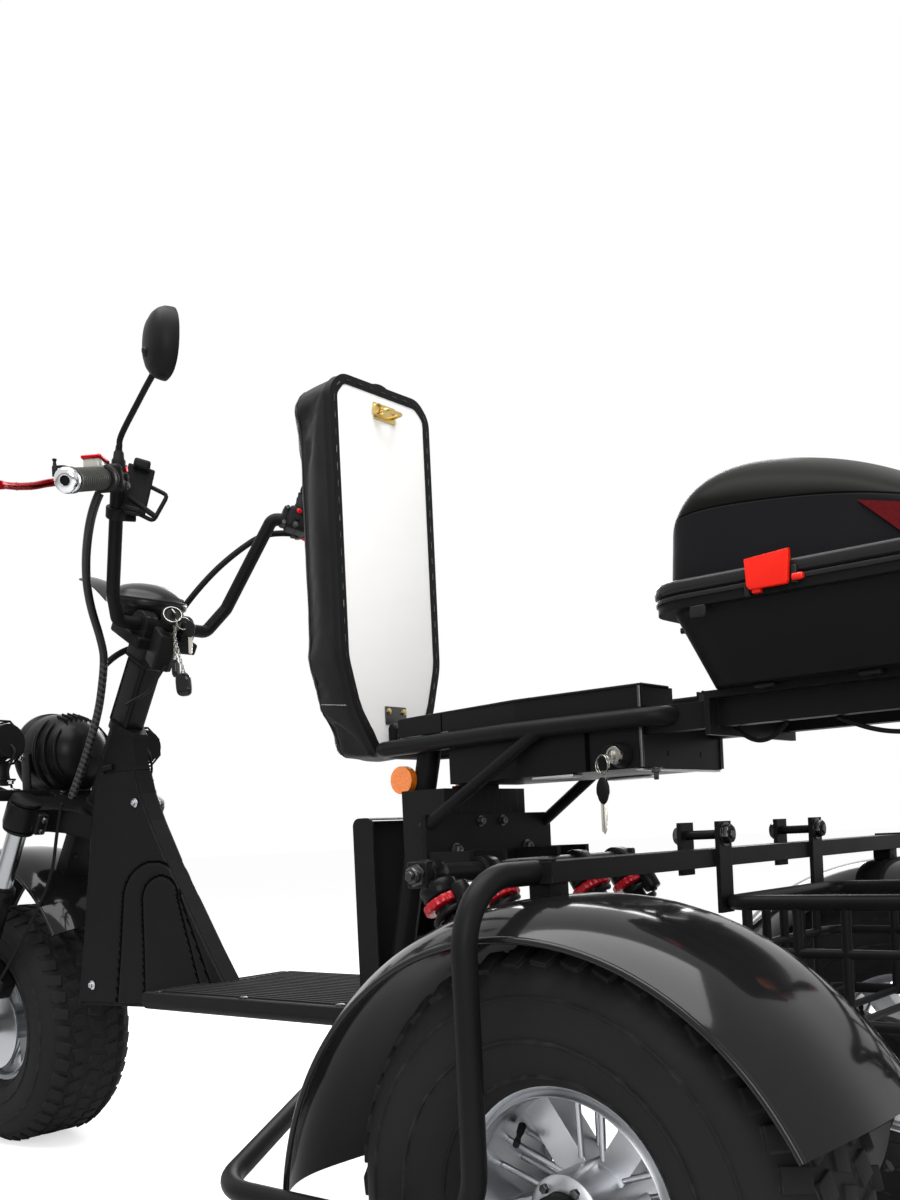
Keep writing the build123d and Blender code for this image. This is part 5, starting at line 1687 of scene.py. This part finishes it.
makeHeadlamp()
makeSpots()
makeSignals()
makeLowerClamp()
makeFork()
makeWrap()
makeCord("left_harness", ((985, 204, 1096), (1000, 210, 1072), (1089, 165, 1019), (1137, 130, 966),
    (1176, 80, 905), (1192, 66, 871), (1232, 62, 763), (1310, 66, 650)), 7, "spiralWrap", "steering",
        ["control_cables"])
makeCord("right_harness", ((985, -204, 1100), (1012, -204, 1108), (1050, -180, 1108), (1081, -146, 1078),
    (1106, -112, 1042), (1134, -84, 1000), (1160, -66, 962), (1182, -56, 935), (1200.6, -40, 915.5),
    (1207.5, 20, 904.5), (1192.2, 64, 872.5)), 5.5, "softRubber", "steering")
makeCord("brake_hose", ((1314, 84, 640), (1328, 86, 600), (1353, 86, 504), (1420, 108, 400),
    (1550, 120, 262)), 3, "softRubber", "steering")
makeCord("rack_wire_front", ((30, 60, 662), (14, 60, 640), (-20, 62, 636), (-40, 70, 655)), 2.5,
    "softRubber", "chassis", ["rack_wiring"])
makeCord("rack_wire_rear", ((-95, 70, 655), (-130, 66, 634), (-200, 70, 632), (-216, 78, 632)), 2.5,
    "softRubber", "chassis")
print("front end is dressed")

# Tail case: two-tone lid, rim lips, latches

case = {
    "front": 62, "rear": -318, "half": 190, "corner": 50, "latchX": -84,
    "panelHigh": 0.87, "panelFall": 0.55, "panelMiddle": 0.016,
}


def makeLidFinish():
    mat, tree, shader, place = newMaterial("lidTwoTone")
    parts = put(tree, "ShaderNodeSeparateXYZ", {"Vector": place})
    # The glossy crown starts above a line that falls away from its highest point
    away = calc(tree, "SUBTRACT", parts.outputs["X"], rearAxleX + case["panelMiddle"])
    line = calc(tree, "SUBTRACT", case["panelHigh"],
        calc(tree, "MULTIPLY", calc(tree, "MULTIPLY", away, away), case["panelFall"]))
    above = calc(tree, "SUBTRACT", parts.outputs["Z"], line)
    gloss = ramp(tree, above, -0.0004, 0.0004)
    # Along the panel line the colour is also blended to near-black: painted shade in the groove, beside its
    # bump
    groove = calc(tree, "SUBTRACT", 1.0, ramp(tree, calc(tree, "ABSOLUTE", above), 0.0003, 0.0016))
    grain = addEffect(tree, "fineGrain", place, "Scale", 1500)
    matte = blendColor(tree, grain.outputs["Mask"], (0.007, 0.007, 0.008, 1), (0.01, 0.01, 0.011, 1))
    base = blendColor(tree, gloss, matte, (0.006, 0.006, 0.005, 1))
    grooveShadeColor = blendColor(tree, groove, base, (0.001, 0.001, 0.001, 1))
    tree.links.new(grooveShadeColor, shader.inputs["Base Color"])
    rough = ramp(tree, gloss, 0.0, 1.0, 0.52, 0.34)
    tree.links.new(rough, shader.inputs["Roughness"])
    height = calc(tree, "SUBTRACT", calc(tree, "MULTIPLY", gloss, 0.8), groove)
    step = relief(tree, height, 0.6, 0.0012)
    fine = relief(tree, grain.outputs["Height"], 0.08, 0.0006, step.outputs["Normal"])
    wire(tree, shader, {"Normal": fine.outputs["Normal"], "Specular IOR Level": 0.02})
    nodes["case_lid"].data.materials.clear()
    nodes["case_lid"].data.materials.append(mat)


def caseOutline(grow, z):
    r = case["corner"] + grow
    corners = ((case["front"] + grow - r, case["half"] + grow - r, 0),
        (case["rear"] - grow + r, case["half"] + grow - r, 90),
        (case["rear"] - grow + r, -case["half"] - grow + r, 180),
        (case["front"] + grow - r, -case["half"] - grow + r, 270))
    path = []
    for x, y, start in corners:
        for n in range(9):
            a = math.radians(start + 90 * n / 8)
            path.append(at(x + r * math.cos(a), y + r * math.sin(a), z))
    return path


def makeCase():
    makeLidFinish()
    bm = bmesh.new()
    section = ((-2, 786.2), (1.6, 786.2), (3.0, 787.6), (3.2, 791), (3.0, 795.4), (1.4, 798.4),
        (-1.5, 799.6), (-7, 799.8), (-7, 797))
    addRings(bm, [caseOutline(grow, z) for grow, z in section], closed=True)
    finishPiece("lid_rim_lip", bm, "case_lid", ["rimPlastic"], sharp=60)
    bm = bmesh.new()
    section = ((-2, 779), (1.9, 779), (2.2, 779.8), (2.2, 783.2), (1.8, 783.8), (-2, 783.8))
    addRings(bm, [caseOutline(grow, z) for grow, z in section], closed=True)
    for side in (1, -1):
        addBlock(bm, at(-4, side * 189, 764), (17, 6, 12), soft=1.2)
        addBlock(bm, at(-60, side * 192, 776), (5, 8, 14), soft=1.2)
        addBlock(bm, at(-109, side * 193, 783), (6, 8, 17), soft=1.2)
    for y in (-70, 70):
        addBlock(bm, at(66, y, 766), (14, 36, 6), soft=1.4)
        for dy in (-11, 11):
            addLathe(bm, cap((3, 0), (3, 1.6), (1.6, 2)), at(73, y + dy, 766), (1, 0, 0), 12)
    for x in (-40, -150, -240):
        for side in (1, -1):
            addBlock(bm, at(x, side * 118, 690), (22, 12, 5), soft=1.2)
    finishPiece("case_rim_lip", bm, "chassis", ["rimPlastic"], sharp=60)
    bm = bmesh.new()
    for side in (1, -1):
        turn = turnTo((0, side, 0.04 * side))
        outline = [(-24, 9), (22, 12), (22.5, 8), (21, -19), (19, -22), (-19, -22), (-22, -18)]
        if side < 0:
            outline = [(-a, b) for a, b in reversed(outline)]
        addPlate(bm, outline, at(case["latchX"], side * 197.5, 796), turn, 6.5, 2.4)
        addBlock(bm, at(case["latchX"], side * 194, 797), (40, 12, 12))
        addBlock(bm, at(case["latchX"] + 14, side * 193, 774), (9, 7, 6), soft=1.5)
        addLathe(bm, cap((3.4, 0), (3.4, 9), (2.4, 10.5)), at(case["latchX"] - 24, side * 196, 780),
            (-1, 0, 0), 18)
    finishPiece("case_latch_pair", bm, "case_lid", ["latchRed"], ["case_latches"])


makeCase()
print("case is dressed")

# Shock absorbers with their springs and adjuster rings

shock = {"top": (352, 505), "low": (205, 262), "ys": (-207, -104, 104, 207), "turns": 8.5, "coil": 20.5,
    "wire": 4.4}


def makeShocks():
    bm = bmesh.new()
    for y in shock["ys"]:
        top, low = at(shock["top"][0], y, shock["top"][1]), at(shock["low"][0], y, shock["low"][1])
        axis = (low - top).normalized()
        length = (low - top).length * 1000
        for end in (top, low):
            addLathe(bm, [(12.4, -13), (17, -13), (18, -12), (18, 12), (17, 13), (12.4, 13)], end,
                (0, 1, 0), 32)
            addLathe(bm, [(12.2, -14.5), (14.5, -14.5), (14.5, 14.5), (12.2, 14.5)], end, (0, 1, 0), 28, 2)
        addLathe(bm, [(0, 12), (15, 12), (22, 15), (23.5, 18), (23.5, 31), (22, 33), (16, 34), (16, 56),
            (12, 57), (12, length - 62), (0, length - 62)], top, axis, 40)
        addLathe(bm, [(0, length - 70), (15, length - 70), (17, length - 66), (17, length - 40),
            (13, length - 34), (11, length - 14), (0, length - 14)], top, axis, 36)
        side, other = axisFrame(axis)[1:]
        for start, stop, wide in ((35, 46, 27.4), (length - 58, length - 50, 26.0)):
            rings = []
            for along, share in ((start, 0.86), (start + 1, 0.985), (start + 2, 1), (stop - 2, 1),
                    (stop - 1, 0.985), (stop, 0.86), (stop, 0.6), (start, 0.6)):
                ring = []
                for n in range(96):
                    a = 2 * math.pi * n / 96
                    radius = wide * share * (1 if n % 6 < 4 or share < 0.9 else 0.94)
                    ring.append(top + (axis * along + outward(side, other, a) * radius) / 1000)
                rings.append(ring)
            addRings(bm, rings, 1, closed=True)
        path = []
        count = int(shock["turns"] * 22)
        for n in range(count + 1):
            a = 2 * math.pi * n / 22
            along = 50 + (length - 112) * n / count
            path.append(top + (axis * along + outward(side, other, a) * shock["coil"]) / 1000)
        addTube(bm, path, shock["wire"], 10)
        if y > 150 or y < -150:
            # Small gas bottle beside the outer shocks
            bottle = top + axis * 0.022 + Vector((-0.03, 0, 0.004))
            addLathe(bm, [(0, -4), (11, -4), (12, -2), (12, 30), (11, 32), (5, 33), (4, 36), (0, 36)],
                bottle, axis, 28)
    for sign in (1, -1):
        addBlock(bm, at(352, sign * 226, 505), (32, 15, 32), soft=4, segments=3)
        for x, z in ((352, 505), (205, 262)):
            addLathe(bm, [(0, -1), (14, -1), (14, 1.6), (10.6, 2), (10.6, 8.4), (9.4, 9.6), (6, 9.6),
                (6, 12.4), (5, 13.4), (0, 13.4)], at(x, sign * 234.5, z), (0, sign, 0), 6, 3)
    finishPiece("shock_set", bm, "chassis", ["shellBlack", "springRed", "softRubber", "steelBolt"],
        ["shock_absorbers"], sharp=48)


makeShocks()
print("shocks are on")

# Seat frame details: tray beads, side lock and key, bolts, footboard ribs, battery and controller

tray = {"lock": (150, 97, 633), "ring": (163, 118, 623), "fob": (164, 118, 593), "holes": (34, -46)}


# Hex head on a washer, pointing along the axis
def boltAt(bm, place, axis, size=6.0, finish=1):
    addLathe(bm, [(0, 0), (size * 1.5, 0), (size * 1.5, size * 0.22), (0, size * 0.24)], place, axis, 20,
        finish)
    addLathe(bm, [(0, 0), (size * 1.05, 0), (size * 1.1, size * 0.3), (size * 1.1, size * 0.8),
        (size * 0.95, size), (size * 0.5, size), (size * 0.46, size * 0.8), (0, size * 0.8)],
            place + Vector(axis).normalized() * size * 0.00022, axis, 6, finish)


def makeTrayTrim():
    bm = bmesh.new()
    for side in (1, -1):
        edge = [at(120, side * 97, 711.4), at(300, side * 97, 711.4), at(529, side * 53.5, 711.4)]
        addTube(bm, edge, 1.9, 10)
        for z0, z1 in ((618, 672), (686, 710)):
            addTube(bm, [at(123.5, side * 96.6, z0), at(123.5, side * 96.6, z1)], 2.8, 12, 1)
        # The two thin near-black strips are painted shade in slots
        addBlock(bm, at(196, side * 98.2, 644), (5, 1.6, 52), soft=0.5, finish=2)
        addBlock(bm, at(438, side * 72, 699), (1.6, 2.4, 24), turnTo((0.98, -0.19 * side, 0)), soft=0.5,
            finish=2)
        addBlock(bm, at(250, side * 84, 614.8), (60, 22, 3.4), soft=0.8, finish=3)
    boltAt(bm, at(118, 76, 617), (0, 0, -1), 5)
    addLathe(bm, cap((3, 0), (3, 12), (2.2, 13)), at(118, 76, 616), (0, 0, -1), 14, 1)
    for y in tray["holes"]:
        addLathe(bm, [(2.0, -1.0), (3.4, -1.0), (3.4, 0.5), (2.8, 0.7), (2.0, 0.5)], at(124, y, 635),
            (-1, 0, 0), 20)
        # A near-black disc inside each hole: painted shade
        addLathe(bm, cap((2.0, 0), (2.0, 0.3)), at(124, y, 635), (-1, 0, 0), 16, 2)
    addBlock(bm, at(129, 0, 615.6), (9, 190, 2.2), soft=0.6, finish=3)
    addTube(bm, [at(529, 53.5, 711.4), at(529, -53.5, 711.4)], 1.9, 10)
    addTube(bm, [at(120, 97, 711.4), at(120, 38, 711.4)], 1.9, 10)
    addTube(bm, [at(120, -48, 711.4), at(120, -97, 711.4)], 1.9, 10)
    for y in (-78, 78):
        boltAt(bm, at(418, y, 531), (-1, 0, 0), 6.5)
    for y in (-24, 24):
        boltAt(bm, at(418, y, 568), (-1, 0, 0), 5)
    for side in (1, -1):
        for x, z in ((470, 590), (452, 640)):
            boltAt(bm, at(x + 36, side * 66, z - 40), (0, side, 0), 5.5)
        boltAt(bm, at(505, side * 171, 335), (0, side, 0), 9)
        for x in (540, 552):
            boltAt(bm, at(x, side * 53.5, 338), (0, side, 0), 5)
    finishPiece("tray_trim", bm, "chassis", ["satinBlack", "steelBolt", "paintedShadeBlack", "castAlloy"])


def makeLock():
    bm = bmesh.new()
    lock = at(*tray["lock"])
    addLathe(bm, [(0, -3), (13.5, -3), (15, 0), (15, 3), (13.4, 6), (12, 13), (11.2, 15), (0, 15)], lock,
        (0, 1, 0), 36)
    addLathe(bm, [(0, 15), (10.8, 15), (11, 16), (9.6, 18.6), (7, 19), (6.6, 17.5), (0, 17.5)], lock,
        (0, 1, 0), 36, 1)
    addBlock(bm, lock + Vector((0, 0.019, 0)), (2.0, 5, 9), soft=0.6, finish=2)
    # The key hangs from its ring below the lock
    ring = at(*tray["ring"])
    for turnWay in ((0.25, 1, 0.1), (0.5, 1, -0.1)):
        way = turnTo(turnWay)
        addTube(bm, circle(ring, way, 0.0112, 36), 0.95, 8, 1, closed=True)
    fob = at(*tray["fob"])
    flat = turnTo((-0.35, 0.94, 0), (0, 0.02, 1))
    oval = [(7.6 * math.cos(a) * (1.0 if math.sin(a) > -0.2 else 0.9), 15.5 * math.sin(a))
        for a in turns(32)]
    addPlate(bm, oval, fob, flat, 6.4, 2.0, 3)
    blade = [(-3.4, -14), (3.4, -14), (3.4, -34), (2.2, -36), (3.2, -38.5), (1.6, -41), (2.8, -43.5),
        (1.8, -46), (0, -50), (-3.4, -46)]
    addPlate(bm, blade, fob, flat, 1.9, 0.3, 2)
    addPlate(bm, [(-0.8, -15), (0.8, -15), (0.8, -44), (-0.8, -44)], fob + Vector((0, 0.0011, 0)), flat,
        0.5, 0, 1)
    finishPiece("box_lock_and_key", bm, "chassis", ["darkPlastic", "lockChrome", "keyBrass", "shellBlack"],
        sharp=45)


def makeBoardAndPack():
    bm = bmesh.new()
    for n in range(19):
        y = -126 + 14 * n
        long = 396 if abs(y) > 66 else 380
        addBlock(bm, at(786, y, 327.2), (long, 5.5, 2.6), soft=0.9)
    rim = [at(572, 147, 325), at(1006, 147, 325), at(1006, -147, 325), at(572, -147, 325)]
    addTube(bm, rim, 2.6, 10, closed=True)
    finishPiece("footboard_mat", bm, "chassis", ["matRubber"])
    bm = bmesh.new()
    for x, y in ((590, 132), (990, 132), (590, -132), (990, -132), (790, 132), (790, -132)):
        addLathe(bm, [(0, 0), (7, 0), (7, 1.6), (4.5, 3), (0, 3.2)], at(x, y, 326), (0, 0, 1), 24)
    for z in (350, 540):
        for y in (-52, 52):
            addLathe(bm, [(0, 0), (7.5, 0), (7.5, 1.4), (5, 3), (0, 3.2)], at(604, y, z), (1, 0, 0), 24)
    for side in (1, -1):
        for x in (-140, -40, 10):
            addLathe(bm, [(0, 0), (7, 0), (7, 1.4), (4.6, 2.8), (0, 3)], at(x, side * 92, 693), (0, 0, 1),
                20)
    finishPiece("panel_rivets", bm, "chassis", ["steelBolt"])
    bm = bmesh.new()
    low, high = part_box("battery_pack")
    middle = (low + high) / 2
    addBlock(bm, Vector((middle.x, 0, high.z - 0.004)), ((high.x - low.x) * 1000 - 14, 120, 10), soft=3)
    handle = softPath([Vector((middle.x - 0.05, 0, high.z)), Vector((middle.x - 0.046, 0, high.z + 0.016)),
        Vector((middle.x + 0.046, 0, high.z + 0.016)), Vector((middle.x + 0.05, 0, high.z))], 5)
    addTube(bm, handle, 5, 12, 1)
    for dy in (-0.035, 0.035):
        addLathe(bm, [(0, -2), (9, -2), (9, 5), (7.5, 6), (5, 6), (5, 3), (0, 3)],
            Vector((middle.x + 0.09, dy, high.z)), (0, 0, 1), 24, 1)
    finishPiece("battery_top", bm, "chassis", ["pillCase", "softRubber"])
    bm = bmesh.new()
    for n in range(9):
        addBlock(bm, at(463, -72 + 18 * n, 553), (74, 3.2, 112), soft=0.8)
    finishPiece("controller_fins", bm, "chassis", ["castDark"])


makeTrayTrim()
makeLock()
makeBoardAndPack()
print("seat frame details are on")

# Crossbar clamps, axle cover bolts, wheel trim


def makeRearMetal():
    bm = bmesh.new()
    for y in (-120, 120):
        for sign in (1, -1):
            end = at(38 + sign * 24.5, y, 538)
            addLathe(bm, [(0, 0), (13, 0), (13, 1.6), (0, 1.8)], end, (sign, 0, 0), 24, 1)
            addLathe(bm, cap((10.2, 0), (10.6, 0.8), (10.6, 5.2), (9.8, 6.2), (5.5, 6.4), (5.2, 8.4),
                (4.4, 9)), end + Vector((sign * 0.0016, 0, 0)), (sign, 0, 0), 6, 1)
    for side in (1, -1):
        for x in (24, 52):
            addTube(bm, [at(x, side * 429, 503.6), at(x, side * 429, 523.4)], 1.6, 8)
        addTube(bm, [at(19, side * 428, 524), at(57, side * 428, 524)], 1.8, 8)
    finishPiece("crossbar_fittings", bm, "chassis", ["satinBlack", "steelBolt"])
    head = bmesh.new()
    addLathe(head, cap((7, 0), (7, 1.6), (5.4, 1.8), (5.4, 6), (4.6, 6.8)), Vector((0, 0, 0.068)),
        (1, 0, 0), 6)
    rows = bmesh.new()
    rows.from_mesh(ringOf(head, 10, tuple(at(0, 0, wheelRise)), turn=(0, 0, math.radians(180)),
        look="steelBolt"))
    bmesh.ops.translate(rows, verts=rows.verts[:], vec=(-0.062, 0, 0))
    addLathe(rows, [(0, -4), (60, -4), (66, 0), (78, 0), (78, 8), (0, 8)], at(-70, 0, wheelRise),
        (-1, 0, 0), 48)
    for side in (1, -1):
        addLathe(rows, [(44, 0), (60, 0), (62, 3), (62, 20), (58, 26), (44, 26)],
            at(0, side * 250, wheelRise), (0, side, 0), 48)
        for n in range(8):
            a = 2 * math.pi * n / 8
            addLathe(rows, cap((6, 0), (6, 5), (5, 6)),
                at(52 * math.cos(a), side * 250, wheelRise + 52 * math.sin(a)), (0, -side, 0), 6)
    finishPiece("axle_fittings", rows, "chassis", ["castDark"])


def makeWheelTrim():
    for name, (body, centre) in wheels.items():
        middle = at(*centre)
        bm = bmesh.new()
        hubHalf = 72 if name == "front_tyre" else 60
        for side in (1, -1):
            lip = [(97, 50), (101, 54), (104.5, 60), (107.5, 63.5), (109.5, 62), (108, 58), (104, 55)]
            rings = []
            for r, along in lip:
                rings.append([roundAxle(middle, 2 * math.pi * n / 72, r, side * along) for n in range(72)])
            addRings(bm, rings, closed=True)
            if name == "front_tyre":
                continue
            face = middle + Vector((0, side * hubHalf / 1000, 0))
            addLathe(bm, [(13, -6), (31, -6), (34, -3), (34, 1), (30, 4), (24, 5), (20.5, 5), (19, 2),
                (13, 2)], face, (0, side, 0), 48)
            for n in range(5):
                a = math.radians(72 * n + 90 + 36)
                spot = face + Vector((math.cos(a) * 0.026, side * 0.0035, math.sin(a) * 0.026))
                addLathe(bm, [(0, 0), (4.4, 0), (4.4, 4.6), (3.6, 5.4), (0, 5.6)], spot, (0, side, 0), 6, 1)
        # Valve stem on the outer side and raised ribs down the spokes
        for n in range(5):
            a = math.radians(72 * n + 90)
            along = Vector((math.cos(a), 0, math.sin(a)))
            across = Vector((-math.sin(a), 0, math.cos(a)))
            for side in (1, -1):
                for shift in (-11, 11):
                    start = middle + along * 0.036 + across * shift / 1000 + Vector((0, side * 0.0145, 0))
                    stop = middle + along * 0.098 + across * shift * 1.15 / 1000 + Vector((0, side * 0.0155,
                        0))
                    addTube(bm, [start, stop], 3.0, 10)
        a = math.radians(36)
        stem = middle + Vector((math.cos(a) * 0.094, 0.012, math.sin(a) * 0.094))
        addLathe(bm, [(0, 0), (4, 0), (3.4, 12), (2.6, 13), (2.6, 24), (3.2, 25), (3.2, 32), (0, 33)], stem,
            (-math.cos(a) * 0.5, 0.86, -math.sin(a) * 0.5), 14, 2)
        finishPiece(name.replace("tyre", "rim_trim"), bm, body, ["castAlloy", "steelBolt", "softRubber"])


rearLamp = {"signal": (-216, 632), "inner": 78, "outer": 150, "radius": 17, "tail": (-250, 660),
    "tailHalf": 38}


def makeRearLamps():
    bm = bmesh.new()
    x, z = rearLamp["signal"]
    radius, span = rearLamp["radius"], rearLamp["outer"] - rearLamp["inner"]
    for side in (1, -1):
        start = at(x, side * rearLamp["inner"], z)
        way = (0, side, 0)
        addLathe(bm, [(0, 0), (radius - 3, 0), (radius, 3), (radius, 24), (radius - 0.8, 25), (0, 25)],
            start, way, 40, 1)
        lens = [(0, 25), (radius - 1.4, 25)]
        for n in range(9):
            lens += [(radius - 1.4, 27 + 4.6 * n), (radius - 0.4, 28.6 + 4.6 * n),
                (radius - 1.4, 30.2 + 4.6 * n)]
        lens += [(radius - 4, span - 1), (0, span)]
        addLathe(bm, lens, start, way, 40)
        addBlock(bm, at(-216, side * 94, 645), (20, 20, 26), finish=1)
        addLathe(bm, cap((4, 0), (4, 2), (2.4, 3)), at(-227, side * 94, 648), (-1, 0, 0), 6, 2)
    finishPiece("rear_signal_pair", bm, "chassis", ["orangeLens", "shellBlack", "steelBolt"],
        ["rear_lamps"])
    bm = bmesh.new()
    x, z = rearLamp["tail"]
    half = rearLamp["tailHalf"]
    addBlock(bm, at(x + 9, 0, z), (12, 2 * half, 40), soft=3, finish=1, segments=3)
    addBlock(bm, at(x - 3, 0, z), (15, 2 * half - 4, 36), soft=3, segments=3)
    for n in range(9):
        addBlock(bm, at(x - 11, -half + 6 + 8 * n + 2, z), (1.6, 3.2, 31), soft=0.6)
    addBlock(bm, at(-235.6, 0, 663), (3, 60, 26), soft=0.8, finish=1)
    finishPiece("tail_lamp", bm, "chassis", ["tailRed", "shellBlack"])


makeRearMetal()
makeWheelTrim()
makeRearLamps()
print("rear metal and wheel trim are on")
